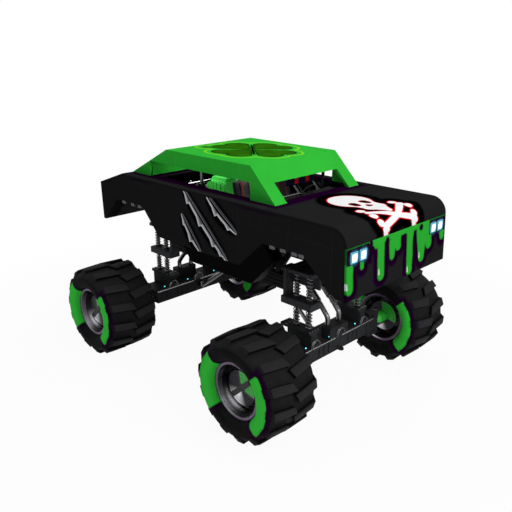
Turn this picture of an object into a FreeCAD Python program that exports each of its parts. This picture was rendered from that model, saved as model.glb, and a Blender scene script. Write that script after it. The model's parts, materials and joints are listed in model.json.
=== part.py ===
import FreeCAD
import Part
import math
import os

V = FreeCAD.Vector

# Monster truck, millimetres. +X towards the nose, +Y to the truck's left, +Z up.
# The origin is on the ground, under the middle of the body's length.
# Turned and bent pieces have few, flat sides; a radius given for them is to their corners.

# ---------------------------------------------------------------- wheels
WHEELBASE = 3922.0
FRONT_OVERHANG = 1179.0        # front axle to the foremost point of the nose
TYRE_RADIUS = 838.0            # a 66 inch flotation tyre, to the lugs' tips
TYRE_Y = 1807.0                # middle of the tread
TREAD_HALF_WIDTH = 440.0
SIDEWALL_HALF_WIDTH = 530.0
CARCASS_RADIUS = 772.0         # tread's ground between the lugs, at the middle
SHOULDER_RADIUS = 744.0
HEEL_Y = 524.0                 # where a lug ends on the sidewall
HEEL_RADIUS = 655.0
SIDEWALL_FOOT_RADIUS = 535.0
TYRE_WALL = 60.0
LUG_COUNT = 14                 # in each of the two rows
LUG_TIP_ANGLE = 7.4            # degrees; at its root a lug covers half of its pitch
LUG_CHEVRON = 5.2              # degrees that a lug lags at the shoulder
LUG_SHOULDER_DROP = 14.0       # tip radius lost at the shoulder, the tread's crown
LUG_HEEL_HEIGHT = 62.0
LUG_PITCH = 360.0 / LUG_COUNT
RIM_LIP_RADIUS = 447.0
RIM_HALF_WIDTH = 415.0
RIM_LIP_THICKNESS = 14.0
RIM_WALL = 16.0
RIM_SEAT_RADIUS = 417.0
RIM_WELL_RADIUS = 385.0
RIM_WELL_Y = 215.0
RIM_STEP_Y = 215.0             # the ring inside the rim's mouth, from the rim's middle
RIM_STEP_RADIUS = 350.0
RIM_DISC_Y = 119.0             # outboard face of the wheel disc
RIM_DISC_THICKNESS = 24.0
RIM_DISH_RADIUS = 265.0        # flat middle of the disc
BEAD_GAP = 0.3                 # between a tyre's bead and its rim
RIM_SIDES = 16

HUB_RADIUS = 150.0
HUB_INNER_Y = -105.0           # from the rim's middle
HUB_SHOULDER_Y = 190.0
HUB_NECK_RADIUS = 95.0
HUB_NECK_Y = 275.0
CAP_RADIUS = 280.0             # round cap on the hub's neck
CAP_T = 25.0
BAR_HALF_LENGTH = 262.0        # bolted bar across the cap
BAR_HALF_WIDTH = 42.0
BAR_T = 28.0
BAR_ANGLE = 43.0               # from +X towards +Z
HUB_SIDES = 8
SPINDLE_RADIUS = 62.0
SPINDLE_END = 60.0             # the spindle stops this far inside the disc
RUNNING_GAP = 0.3              # faces that turn on each other

# ---------------------------------------------------------------- axles and steering
AXLE_INBOARD = 380.0           # box axle, from the wheels' axis towards the truck's middle
AXLE_OUTBOARD = 130.0
AXLE_BOTTOM = 742.0
AXLE_TOP = 990.0
AXLE_HALF_LENGTH = 1000.0
CENTRE_PEDESTAL_TOP = 1180.0
CENTRE_PEDESTAL_HALF = 230.0
CENTRE_PEDESTAL_BACK = 60.0
SHOCK_PEDESTAL_HALF = 70.0
KINGPIN_Y = 1200.0
KINGPIN_RADIUS = 32.0
PIN_GAP = 0.1                  # between a pin's corners and the flats of its hole
KINGPIN_STAND = 12.0           # the pin's ends above and below the yoke
YOKE_HALF_HEIGHT = 225.0
YOKE_ARM = 50.0
YOKE_RADIUS = 70.0
YOKE_FOOT = 60.0               # the yoke's root, inside the axle's end
CARRIER_RADIUS = 120.0         # hub carrier between kingpin and hub
CARRIER_REACH = 200.0
SHIELD_RADIUS = 280.0          # round dust shield on the hub carrier
SHIELD_Y = 1500.0
SHIELD_T = 18.0
PIN_SIDES = 8

ARM_DROP = 190.0               # tie rod below the wheels' axis
STEER_REACH = 500.0            # steering arm's eye behind the kingpin, along -X
STEER_ARM_HALF = 28.0
STEER_ARM_T = 36.0
STEER_ARM_LIFT = 30.0          # arm above the tie rod's middle
STEER_EYE_RADIUS = 42.0
TIE_PIN_RADIUS = 16.0
TIE_TUBE_RADIUS = 26.0
TIE_EYE_T = 56.0
TIE_EYE_ROOT = 0.94            # where the eye's plate starts, as a share of the kingpins' place

TOW_EYE_RADIUS = 14.0          # takes the 25.4 mm pin of a bow shackle
TOW_EYE_T = 32.0
TOW_EYE_HALF = 45.0
TOW_EYE_REACH = 60.0
TOW_EYE_Z = 760.0

# ---------------------------------------------------------------- suspension
SHOCK_Y = 640.0
SHOCK_SPACING = 260.0          # between the two coil-overs of one corner
SHOCK_OFFSET = 120.0           # their middle, inboard of the wheels' axis
PLATE_HALF = 110.0             # half width of the shocks' plates
PEDESTAL_PLATE_Z = 1240.0
PEDESTAL_PLATE_T = 50.0
OUTRIGGER_Z = 1640.0
OUTRIGGER_T = 120.0
TOWER_TOP_Z = 2190.0
TOWER_TOP_T = 60.0
TOWER_INNER = 500.0            # inner edge of the plates, inboard of the wheels' axis
TOWER_OUTER = 130.0
TOWER_POST = 60.0
WEB_FOOT_Z = 1950.0
WEB_T = 36.0
SPRING_RADIUS = 58.0
SPRING_ROOT = 41.0             # the spring's valleys
SPRING_SEAT_T = 22.0           # the springs' end plates, tapered into the first turn
SPRING_SIDES = 6
SPRING_TURNS = 3               # in each of a shock's two springs
DAMPER_RADIUS = 34.0
DAMPER_HOLE_GAP = 4.0
ARM_TUBE_RADIUS = 44.0
ARM_SLEEVE_RADIUS = 56.0
ARM_Y = 150.0
ARM_RISE = 150.0               # straight stretch above the pedestal
ARM_KNEE_X = 150.0
ARM_KNEE_Z = 320.0
ARM_REACH_X = 760.0            # from the axle to the cross-member that holds the arms
ARM_TAIL = 150.0
ARM_END_Z = 1950.0
ARM_BEND = 90.0
BEND_STEPS = 1

# ---------------------------------------------------------------- frame and drive line
RAIL_Y = 640.0
RAIL_WIDTH = 120.0
RAIL_BOTTOM = 1840.0
RAIL_TOP = 2080.0
RAIL_GROOVE = 12.0
RAIL_GROOVE_HEIGHT = 22.0
RAIL_GROOVES = 3
CROSS_WIDTH = 100.0
CROSS_BOTTOM = 1880.0
CROSS_TOP = 2020.0
POST_X = (-700.0, 0.0, 700.0)
POST_HALF = 50.0
STRUT_FOOT = 180.0             # body strut's foot, inboard of the rail's end
STRUT_LEAN = 455.0             # and how far it leans outwards to its head
STRUT_WIDTH = 90.0
STRUT_HALF = 40.0

CASE_HALF_LENGTH = 260.0
CASE_HALF_WIDTH = 180.0
CASE_HEIGHT = 220.0
SHAFT_Y = 60.0
SHAFT_RADIUS = 38.0
YOKE_CAP_RADIUS = 55.0
YOKE_CAP_LENGTH = 120.0
PINION_Z = 880.0

# ---------------------------------------------------------------- body shell
BODY_HALF_WIDTH = 1276.0
BODY_REAR_REACH = 944.0        # rear axle to the tail's rearmost point
PANEL = 40.0                   # panel and stiffener as one wall
SILL_Z = 2290.0
ARCH_TOP_Z = 2760.0
BELT_Z = 3296.0
NOSE_RAKE = 30.0
NOSE_ROUND = 262.0
NOSE_DEPTH = 400.0
ARCH_RETURN = 255.0            # depth of the arch and sill flange
TAIL_TOP_Z = 3024.0
TAIL_RAKE = 25.0
TAIL_BACK = 149.0              # where the tail's slope starts, behind the rear axle
HOOD_BACK = 401.0              # the hood's rear edge, behind the front axle
# columns: rear foot, rear shoulder, front shoulder, front foot, as distances from the axle
ARCH = {
    "front": (-921.0, -411.0, 389.0, 979.0),
    "rear": (-839.0, -399.0, 461.0, 911.0),
}
ROOF_HALF_WIDTH = 1030.0
ROOF_TOP_Z = 3830.0
ROOF_WALL = 60.0
ROOF_FRONT_BACK = 911.0        # the roof's flat top starts this far behind the front axle
ROOF_REAR_AHEAD = 911.0        # and ends this far ahead of the rear axle
WINDOW_HEADER = 260.0          # from the windows' top to the roof's
WINDOW_CORNER = 16.395         # wall left behind the side windows' upper rear corner
WINDSHIELD_HALF_WIDTH = 770.0
WINDSHIELD_DEPTH = 300.0       # of its cut, behind the front end of the roof's flat top
ROOF_FOOT_LAP = 24.0           # the roof's front foot over the hood's rear edge
ROCKER_DROP = 240.0
ROCKER_NOSE = 181.0            # the rocker's raised front end, behind the front axle
ROCKER_TOE = 651.0
ROCKER_HEEL = 2121.0
ROCKER_REAR = 2311.0
SEAT_GAP = 0.3                 # between pieces that stand on each other
FAR = 4000.0                   # past the body on any side, for cutting

LAMP_SIZE = 170.0
LAMP_GAP = 30.0
LAMP_Y = 1010.0                # middle of a pair
LAMP_Z = 2885.0
LAMP_DEPTH = 60.0
LAMP_SET_BACK = 14.0

# ---------------------------------------------------------------- cab
CAB_FRONT_BACK = 513.5         # the cab's opening starts behind the front axle
CAB_REAR_AHEAD = 518.5         # and ends ahead of the rear axle
CAB_HALF_WIDTH = 930.0
CAB_FLOOR = SILL_Z + PANEL + SEAT_GAP
CAGE_RADIUS = 30.0
CAGE_Y = 860.0
CAGE_REAR_AHEAD = 747.5        # rear hoop, ahead of the roof's flat top's rear end
CAGE_FRONT_BACK = 112.5        # front hoop, behind its front end
CAGE_HEADROOM = 70.0           # from the cage's top bars to the roof's inside
CAGE_BAR_Z = 2900.0
SEAT_Y = 430.0
SEAT_X = 250.0
SEAT_LENGTH = 480.0
SEAT_HALF = 240.0
SEAT_BASE_Z = 2640.0
SEAT_PAN = 120.0
SEAT_HEADROOM = 280.0          # from the seats' top to the cage's top bars
SEAT_BACK = 110.0
SEAT_RAKE = 170.0
PLINTH_INSET = 50.0
STRAP_Y = 95.0
STRAP_HALF = 30.0
STRAP_T = 8.0
DASH_DEPTH = 270.0
DASH_SET_BACK = 60.0
DASH_TOP_Z = 3240.0
DASH_HALF = 810.0
COLUMN_TILT = 25.0
COLUMN_Z = 3080.0
COLUMN_LENGTH = 160.0
COLUMN_RADIUS = 22.0
STEERING_RADIUS = 175.0
STEERING_RIM = 16.0
SPOKE_RADIUS = 11.0

ENGINE_AHEAD = 720.0           # its middle, ahead of the cab opening's rear edge
ENGINE_HALF_LENGTH = 280.0
ENGINE_HALF_WIDTH = 300.0
ENGINE_TOP = 2960.0
BLOWER_HALF_LENGTH = 270.0
BLOWER_HALF_WIDTH = 170.0
BLOWER_HEIGHT = 230.0
BLOWER_TAPER = 20.0
BLOWER_RIBS = 5
BLOWER_RIB = 14.0
SCOOP_HALF_WIDTH = 130.0
SCOOP_FOOT = 190.0             # half length at the scoop's foot
SCOOP_NOSE = 230.0             # and its top edge, ahead and behind
SCOOP_TAIL = 150.0
SCOOP_HEIGHT = 70.0
PIPE_COUNT = 4
PIPE_PITCH = 140.0
PIPE_RADIUS = 30.0
PIPE_Z = 2860.0
PIPE_OUT = 120.0
PIPE_SPREAD = 100.0
PIPE_TOP_Z = 3200.0

ROD_SIDES = 6
FLATNESS = 0.01                # largest distance from a plane that a facet may have

BODY_FRONT = (WHEELBASE + FRONT_OVERHANG + BODY_REAR_REACH) / 2.0
BODY_REAR = -BODY_FRONT
AXLE_X = {"front": BODY_FRONT - FRONT_OVERHANG}
AXLE_X["rear"] = AXLE_X["front"] - WHEELBASE
DECK_REAR_X = AXLE_X["rear"] - TAIL_BACK
HOOD_REAR_X = AXLE_X["front"] - HOOD_BACK
ROOF_FLAT_FRONT_X = AXLE_X["front"] - ROOF_FRONT_BACK
ROOF_FLAT_REAR_X = AXLE_X["rear"] + ROOF_REAR_AHEAD
ROOF_FOOT_X = HOOD_REAR_X + ROOF_FOOT_LAP
ROOF_BASE_Z = BELT_Z + SEAT_GAP
WINDOW_TOP_Z = ROOF_TOP_Z - WINDOW_HEADER
REAR_SLOPE = (ROOF_FLAT_REAR_X - DECK_REAR_X) / (ROOF_TOP_Z - ROOF_BASE_Z)
SIDE_WINDOW_REAR_X = DECK_REAR_X + REAR_SLOPE * (WINDOW_TOP_Z - ROOF_BASE_Z) + WINDOW_CORNER
CAB_FRONT_X = AXLE_X["front"] - CAB_FRONT_BACK
CAB_REAR_X = AXLE_X["rear"] + CAB_REAR_AHEAD
CAGE_TOP_Z = ROOF_TOP_Z - ROOF_WALL - CAGE_HEADROOM
ENGINE_X = CAB_REAR_X + ENGINE_AHEAD
CAGE_REAR_X = ROOF_FLAT_REAR_X + CAGE_REAR_AHEAD
CAGE_FRONT_X = ROOF_FLAT_FRONT_X - CAGE_FRONT_BACK
SEAT_TOP_Z = CAGE_TOP_Z - SEAT_HEADROOM
INBOARD = {"front": -1.0, "rear": 1.0}
SIDE = {"right": -1.0, "left": 1.0}
ENDS = ("front", "rear")
BOTH = (-1.0, 1.0)


# ---------------------------------------------------------------- flat-sided forms
def flat(corners):
    """Flat face through corners that lie in one plane."""
    return Part.Face(Part.makePolygon(corners + corners[:1]))


def facets(corners):
    """Faces between up to four corners: one if they lie in a plane, or else two triangles."""
    kept = [p for k, p in enumerate(corners) if (p - corners[k - 1]).Length > FLATNESS]
    if len(kept) < 3:
        return []
    if len(kept) == 3:
        return [flat(kept)]
    a, b, c, d = kept
    normal = (b - a).cross(c - a).normalize()
    if abs(normal.dot(d - a)) <= FLATNESS:
        return [flat(kept)]
    return [flat([a, b, c]), flat([a, c, d])]


def band_between(rings):
    """Facets between each ring of corners and the next."""
    faces = []
    for here, there in zip(rings[:-1], rings[1:]):
        for k in range(len(here)):
            faces += facets([here[k - 1], here[k], there[k], there[k - 1]])
    return faces


def solid_of(faces):
    solid = Part.makeSolid(Part.makeShell(faces))
    if solid.Volume < 0:
        solid.reverse()
    return solid


def skin(rings):
    """Solid of facets through rings of corners, capped at both ends."""
    return solid_of(band_between(rings) + [flat(rings[0]), flat(rings[-1])])


def across(axis):
    """Two directions square to an axis; for +Y they are +X and +Z."""
    up = V(1, 0, 0) if abs(axis.z) > 0.9 else V(0, 0, 1)
    u = axis.cross(up).normalize()
    return u, u.cross(axis).normalize()


def turned(profile, base, axis, sides, first=0.5):
    """Closed outline of (radius, height along the axis), turned round it with flat sides.
    first is the place of the first corner, in sides."""
    base, axis = V(*base), V(*axis)
    u, w = across(axis)
    rings = []
    for k in range(sides):
        a = 2 * math.pi * (k + first) / sides
        out = u * math.cos(a) + w * math.sin(a)
        rings.append([base + axis * h + out * r for r, h in profile])
    return solid_of(band_between(rings + rings[:1]))


def rod(radius, start, end, sides=ROD_SIDES):
    """Straight bar with flat sides; radius is to its corners."""
    start, end = V(*start), V(*end)
    u, w = across((end - start).normalize())
    corners = []
    for k in range(sides):
        a = 2 * math.pi * (k + 0.5) / sides
        corners.append(u * (radius * math.cos(a)) + w * (radius * math.sin(a)))
    return skin([[start + c for c in corners], [end + c for c in corners]])


def eye_plate(x, y_root, y_eye, radius, z0, z1):
    """Plate along Y whose end is half of an octagon about an upright pin at y_eye."""
    out = math.copysign(radius, y_eye - y_root)
    corner = math.tan(math.pi / 8)
    outline = [(-1, y_root), (-1, y_eye + corner * out), (-corner, y_eye + out),
               (corner, y_eye + out), (1, y_eye + corner * out), (1, y_root)]
    return flat([V(x + k * radius, y, z0) for k, y in outline]).extrude(V(0, 0, z1 - z0))


def pin_hole(radius, start, end):
    """Cutter for a hole in which a flat-sided pin turns: its flats clear the pin's corners."""
    return rod(radius / math.cos(math.pi / PIN_SIDES), start, end, PIN_SIDES)


def bore(radius, start, end):
    """Round cutter for a hole."""
    start, end = V(*start), V(*end)
    return Part.makeCylinder(radius, (end - start).Length, start, end - start)


def rounded(points, bend):
    """Route with each inner corner replaced by short chords of an arc."""
    pts = [V(*p) for p in points]
    route = [pts[0]]
    for a, b, c in zip(pts[:-2], pts[1:-1], pts[2:]):
        u = (a - b).normalize()
        w = (c - b).normalize()
        half = (math.pi - u.getAngle(w)) / 2
        centre = b + (u + w).normalize() * (bend / math.cos(half))
        side = (u - w).normalize()
        down = (b - centre).normalize()
        for k in range(BEND_STEPS + 1):
            t = half * (1 - 2.0 * k / BEND_STEPS)
            route.append(centre + down * (bend * math.cos(t)) + side * (bend * math.sin(t)))
    return route + [pts[-1]]


def bent_tube(route, radius, sides):
    """Tube with flat sides along a route that lies in one plane, mitred at each corner."""
    runs = [(b - a).normalize() for a, b in zip(route[:-1], route[1:])]
    level = runs[0].cross(runs[1]).normalize()
    rings = []
    for k, p in enumerate(route):
        before = runs[max(k - 1, 0)]
        after = runs[min(k, len(runs) - 1)]
        along = (before + after).normalize()
        out = level.cross(along)
        stretch = radius / along.dot(after)
        ring = []
        for n in range(sides):
            a = 2 * math.pi * (n + 0.5) / sides
            ring.append(p + level * (radius * math.cos(a)) + out * (stretch * math.sin(a)))
        rings.append(ring)
    return skin(rings)


def box(x0, x1, y0, y1, z0, z1):
    lo = V(min(x0, x1), min(y0, y1), min(z0, z1))
    return Part.makeBox(abs(x1 - x0), abs(y1 - y0), abs(z1 - z0), lo)


def prism_y(points, y0, y1):
    """Closed outline of (x, z) points, carried from y0 to y1."""
    return flat([V(x, min(y0, y1), z) for x, z in points]).extrude(V(0, abs(y1 - y0), 0))


def fuse(shapes):
    shapes = list(shapes)
    return shapes[0].fuse(shapes[1:]).removeSplitter()


def mirror_y(shape):
    return shape.mirror(V(0, 0, 0), V(0, 1, 0))


def on_side(side, left):
    """The left-hand piece itself, or its mirror image for the right."""
    return left if SIDE[side] > 0 else mirror_y(left)


# ---------------------------------------------------------------- body shell
def arch_points(end):
    """Wheel arch from its rear foot to its front foot, as (x, z)."""
    heights = (SILL_Z, ARCH_TOP_Z, ARCH_TOP_Z, SILL_Z)
    return [(AXLE_X[end] + dx, z) for dx, z in zip(ARCH[end], heights)]


def nose_arc(inset):
    """The rounded top of the nose, as three points of an arc, set in by a wall."""
    radius = NOSE_ROUND - inset
    cx = BODY_FRONT - NOSE_RAKE - NOSE_ROUND
    cz = BELT_Z - NOSE_ROUND
    half = radius * math.sqrt(0.5)
    return V(cx + radius, 0, cz), V(cx + half, 0, cz + half), V(cx, 0, cz + radius)


def body_outline(inset):
    """Side view of the body's skin, set in by a wall, as a wire in the XZ plane."""
    low, mid, high = nose_arc(inset)
    tail_low = V(BODY_REAR + TAIL_RAKE + inset, 0, SILL_Z)
    tail_high = V(BODY_REAR + inset, 0, TAIL_TOP_Z - inset * 0.7)
    deck_rear = V(DECK_REAR_X + inset * 0.16, 0, BELT_Z - inset)
    nose_low = V(BODY_FRONT - inset, 0, SILL_Z)
    under = [V(x, 0, z) for x, z in arch_points("rear") + arch_points("front")]
    edges = [Part.LineSegment(nose_low, low).toShape(),
             Part.Arc(low, mid, high).toShape(),
             Part.LineSegment(high, deck_rear).toShape(),
             Part.LineSegment(deck_rear, tail_high).toShape(),
             Part.LineSegment(tail_high, tail_low).toShape()]
    chain = [tail_low] + under + [nose_low]
    for a, b in zip(chain[:-1], chain[1:]):
        edges.append(Part.LineSegment(a, b).toShape())
    return Part.Wire(edges)


def skin_band():
    """The hood, nose, deck and tail as one bent wall, before it is split."""
    w = BODY_HALF_WIDTH
    outer = Part.Face(body_outline(0.0)).extrude(V(0, 2 * w, 0))
    inner = Part.Face(body_outline(PANEL)).extrude(V(0, 2 * w, 0))
    band = outer.cut(inner)
    band.translate(V(0, -w, 0))
    return band


def largest(shape):
    return max(shape.Solids, key=lambda s: s.Volume)


def make_hood(band):
    z_split = BELT_Z - NOSE_ROUND
    return largest(band.common(box(HOOD_REAR_X, BODY_FRONT, -FAR, FAR, z_split, FAR)))


def headlamp_places():
    step = (LAMP_SIZE + LAMP_GAP) / 2
    return [(side * (LAMP_Y + k * step), LAMP_Z) for side in BOTH for k in BOTH]


def lamp_block(x0, x1, y, z, half):
    return box(x0, x1, y - half, y + half, z - half, z + half)


def make_nose(band):
    z_split = BELT_Z - NOSE_ROUND
    nose = largest(band.common(box(BODY_FRONT - NOSE_DEPTH, FAR, -FAR, FAR, SILL_Z, z_split)))
    for y, z in headlamp_places():
        nose = nose.cut(lamp_block(BODY_FRONT - LAMP_DEPTH, FAR, y, z, LAMP_SIZE / 2))
    return nose


def make_headlamps():
    half = LAMP_SIZE / 2 - SEAT_GAP
    return [lamp_block(BODY_FRONT - LAMP_DEPTH, BODY_FRONT - LAMP_SET_BACK, y, z, half)
            for y, z in headlamp_places()]


def make_rear_deck(band):
    deck = band.common(box(-FAR, HOOD_REAR_X, -FAR, FAR, TAIL_TOP_Z, FAR))
    opening = box(CAB_REAR_X, CAB_FRONT_X, -CAB_HALF_WIDTH, CAB_HALF_WIDTH, TAIL_TOP_Z, FAR)
    return largest(deck.cut(opening))


def make_tail(band):
    return largest(band.common(box(-FAR, BODY_REAR + NOSE_DEPTH, -FAR, FAR, SILL_Z, TAIL_TOP_Z)))


def make_side(side):
    """A flat wall inside the band, with a flange round the arches and along the sill."""
    y_out = BODY_HALF_WIDTH - PANEL
    y_in = BODY_HALF_WIDTH - ARCH_RETURN
    wall = Part.Face(body_outline(PANEL)).extrude(V(0, PANEL, 0))
    wall.translate(V(0, y_out, 0))
    pieces = [wall]
    for end in ENDS:
        under = arch_points(end)
        foot = PANEL * 0.9
        over = [(x, z + PANEL) for x, z in under]
        over[0] = (under[0][0] - foot, under[0][1])
        over[-1] = (under[-1][0] + foot, under[-1][1])
        pieces.append(prism_y(under + over[::-1], y_in, y_out))
    sill_rear = arch_points("rear")[-1][0]
    sill_front = arch_points("front")[0][0]
    pieces.append(box(sill_rear, sill_front, y_in, y_out, SILL_Z, SILL_Z + PANEL))
    return on_side(side, fuse(pieces))


def make_floor():
    """Belly and arch ceilings between the side walls' flanges."""
    half = BODY_HALF_WIDTH - ARCH_RETURN - SEAT_GAP
    tail_x = BODY_REAR + TAIL_RAKE + PANEL + 10
    nose_x = BODY_FRONT - PANEL - 10
    line = [(tail_x, SILL_Z)] + arch_points("rear") + arch_points("front") + [(nose_x, SILL_Z)]
    lifted = [(x, z + PANEL) for x, z in line]
    return prism_y(line + lifted[::-1], -half, half)


def make_rockers():
    """Matte beam under each sill that turns up behind the front arch."""
    foot, shoulder = arch_points("front")[:2]
    axle = AXLE_X["front"]
    top = SILL_Z - SEAT_GAP
    # columns: x, z, from the beam's rear end round to its foot
    outline = [(axle - ROCKER_REAR, top), (foot[0], top), (shoulder[0], shoulder[1] - SEAT_GAP),
               (axle - ROCKER_NOSE, ARCH_TOP_Z - ROCKER_DROP), (axle - ROCKER_TOE, SILL_Z - ROCKER_DROP),
               (axle - ROCKER_HEEL, SILL_Z - ROCKER_DROP)]
    left = prism_y(outline, BODY_HALF_WIDTH - ARCH_RETURN, BODY_HALF_WIDTH)
    return [left, mirror_y(left)]


def roof_profile(inset, base):
    top = ROOF_TOP_Z - inset
    return [(DECK_REAR_X + inset * 2.6, base), (ROOF_FLAT_REAR_X + inset * 0.3, top),
            (ROOF_FLAT_FRONT_X - inset * 0.4, top), (ROOF_FOOT_X - inset * 1.4, base)]


def make_roof():
    w = ROOF_HALF_WIDTH
    below = BELT_Z - 5
    shell = prism_y(roof_profile(0.0, ROOF_BASE_Z), -w, w)
    hollow = prism_y(roof_profile(ROOF_WALL, below), -w + ROOF_WALL, w - ROOF_WALL)
    sides = box(SIDE_WINDOW_REAR_X, ROOF_FLAT_FRONT_X, -FAR, FAR, below, WINDOW_TOP_Z)
    windshield = box(ROOF_FLAT_FRONT_X - WINDSHIELD_DEPTH, FAR, -WINDSHIELD_HALF_WIDTH,
                     WINDSHIELD_HALF_WIDTH, below, WINDOW_TOP_Z)
    return shell.cut([hollow, sides, windshield])


# ---------------------------------------------------------------- frame
def rail_end(end):
    return AXLE_X[end] + INBOARD[end] * TOWER_INNER


def grooved_rail(y):
    x0, x1 = rail_end("rear"), rail_end("front")
    half = RAIL_WIDTH / 2
    rail = box(x0, x1, y - half, y + half, RAIL_BOTTOM, RAIL_TOP)
    pitch = (RAIL_TOP - RAIL_BOTTOM) / (RAIL_GROOVES + 0.5)
    grooves = []
    for k in range(RAIL_GROOVES):
        z = RAIL_BOTTOM + (k + 0.75) * pitch
        for face in BOTH:
            yf = y + face * half
            grooves.append(box(x0 - 1, x1 + 1, yf - RAIL_GROOVE, yf + RAIL_GROOVE,
                               z, z + RAIL_GROOVE_HEIGHT))
    return rail.cut(grooves)


def body_strut(end, y):
    """Leaning strut from the rail to the ceiling of the wheel arch."""
    out = -INBOARD[end]
    foot = rail_end(end) - out * STRUT_FOOT
    head = foot + out * STRUT_LEAN
    half = STRUT_WIDTH / 2
    outline = [(foot - half, RAIL_TOP), (foot + half, RAIL_TOP),
               (head + half, ARCH_TOP_Z - SEAT_GAP), (head - half, ARCH_TOP_Z - SEAT_GAP)]
    return prism_y(outline, y - STRUT_HALF, y + STRUT_HALF)


def make_frame():
    pieces = []
    for s in BOTH:
        y = s * RAIL_Y
        pieces.append(grooved_rail(y))
        pieces += [box(x - POST_HALF, x + POST_HALF, y - POST_HALF, y + POST_HALF,
                       RAIL_TOP, SILL_Z - SEAT_GAP) for x in POST_X]
        pieces += [body_strut(end, y) for end in ENDS]
    inner = RAIL_Y - RAIL_WIDTH / 2
    crossings = [AXLE_X[end] + INBOARD[end] * (ARM_REACH_X + CROSS_WIDTH / 2) for end in ENDS]
    for x in crossings + [0.0]:
        pieces.append(box(x - CROSS_WIDTH / 2, x + CROSS_WIDTH / 2, -inner, inner,
                          CROSS_BOTTOM, CROSS_TOP))
    return fuse(pieces)


def shock_x(end):
    middle = AXLE_X[end] + INBOARD[end] * SHOCK_OFFSET
    return [middle - SHOCK_SPACING / 2, middle + SHOCK_SPACING / 2]


def tower(end):
    """Left tower: post on the rail's end, top plate, hanging web, and the outrigger
    that the shocks pass through."""
    x0 = rail_end(end)
    x1 = AXLE_X[end] - INBOARD[end] * TOWER_OUTER
    y0, y1 = SHOCK_Y - PLATE_HALF - 20, SHOCK_Y + PLATE_HALF
    post_y = RAIL_WIDTH / 2
    top = TOWER_TOP_Z + TOWER_TOP_T
    pieces = [box(x0, x1, y0, y1, TOWER_TOP_Z, top),
              box(x0, x1, y0, y1, OUTRIGGER_Z, OUTRIGGER_Z + OUTRIGGER_T),
              box(x0, x1, y0, y0 + WEB_T, WEB_FOOT_Z, top),
              box(x0, x0 - INBOARD[end] * TOWER_POST, y0, RAIL_Y + post_y, OUTRIGGER_Z, top)]
    holes = [rod(DAMPER_RADIUS + DAMPER_HOLE_GAP, (x, SHOCK_Y, OUTRIGGER_Z - 5),
                 (x, SHOCK_Y, OUTRIGGER_Z + OUTRIGGER_T + 5)) for x in shock_x(end)]
    return fuse(pieces).cut(holes)


def make_towers():
    left = [tower(end) for end in ENDS]
    return left + [mirror_y(piece) for piece in left]


# ---------------------------------------------------------------- suspension
def spring_profile(z0, z1, turns):
    """Outer line of a coil spring as stacked turns, as (radius, z)."""
    pitch = (z1 - z0) / turns
    line = [(SPRING_ROOT, z0)]
    for k in range(turns):
        line += [(SPRING_RADIUS, z0 + (k + 0.5) * pitch), (SPRING_ROOT, z0 + (k + 1) * pitch)]
    return line


def coilover(x, y):
    """Shock with one spring below the outrigger that it passes through and one above."""
    foot = PEDESTAL_PLATE_Z + PEDESTAL_PLATE_T + SEAT_GAP
    low_top = OUTRIGGER_Z - SEAT_GAP
    up_foot = OUTRIGGER_Z + OUTRIGGER_T + SEAT_GAP
    head = TOWER_TOP_Z - SEAT_GAP
    profile = [(0, foot), (SPRING_RADIUS, foot)]
    profile += spring_profile(foot + SPRING_SEAT_T, low_top, SPRING_TURNS)
    profile += [(DAMPER_RADIUS, low_top), (DAMPER_RADIUS, up_foot)]
    profile += spring_profile(up_foot, head - SPRING_SEAT_T, SPRING_TURNS)
    profile += [(SPRING_RADIUS, head), (0, head)]
    return turned(profile, (x, y, 0), (0, 0, 1), SPRING_SIDES)


def make_coilovers(end, side):
    return [coilover(x, SIDE[side] * SHOCK_Y) for x in shock_x(end)]


def make_radius_arms(end):
    """Two bright tubes that rise from the centre pedestal, bend and run to the cross-member,
    each in a sleeve along its sloping run."""
    ax, inb = AXLE_X[end], INBOARD[end]
    foot = CENTRE_PEDESTAL_TOP + SEAT_GAP
    arms = []
    for y in (-ARM_Y, ARM_Y):
        knee = (ax + inb * ARM_KNEE_X, y, foot + ARM_KNEE_Z)
        elbow = (ax + inb * (ARM_REACH_X - ARM_TAIL), y, ARM_END_Z)
        route = [(ax, y, foot), (ax, y, foot + ARM_RISE), knee, elbow,
                 (ax + inb * (ARM_REACH_X - SEAT_GAP), y, ARM_END_Z)]
        tube = bent_tube(rounded(route, ARM_BEND), ARM_TUBE_RADIUS, ROD_SIDES)
        run = V(*elbow) - V(*knee)
        sleeve = rod(ARM_SLEEVE_RADIUS, V(*knee) + run * 0.12, V(*knee) + run * 0.88)
        arms.append(fuse([tube, sleeve]))
    return arms


# ---------------------------------------------------------------- axles and steering
def axle_yoke(ax):
    """Left yoke of an axle, with its two kingpin eyes."""
    z = TYRE_RADIUS
    pieces = [box(ax - YOKE_RADIUS, ax + YOKE_RADIUS, AXLE_HALF_LENGTH - YOKE_FOOT,
                  AXLE_HALF_LENGTH + 20, z - YOKE_HALF_HEIGHT, z + YOKE_HALF_HEIGHT)]
    for k in BOTH:
        z_out = z + k * YOKE_HALF_HEIGHT
        z_in = z_out - k * YOKE_ARM
        pieces.append(eye_plate(ax, AXLE_HALF_LENGTH, KINGPIN_Y, YOKE_RADIUS,
                                min(z_in, z_out), max(z_in, z_out)))
    return pieces


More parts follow.
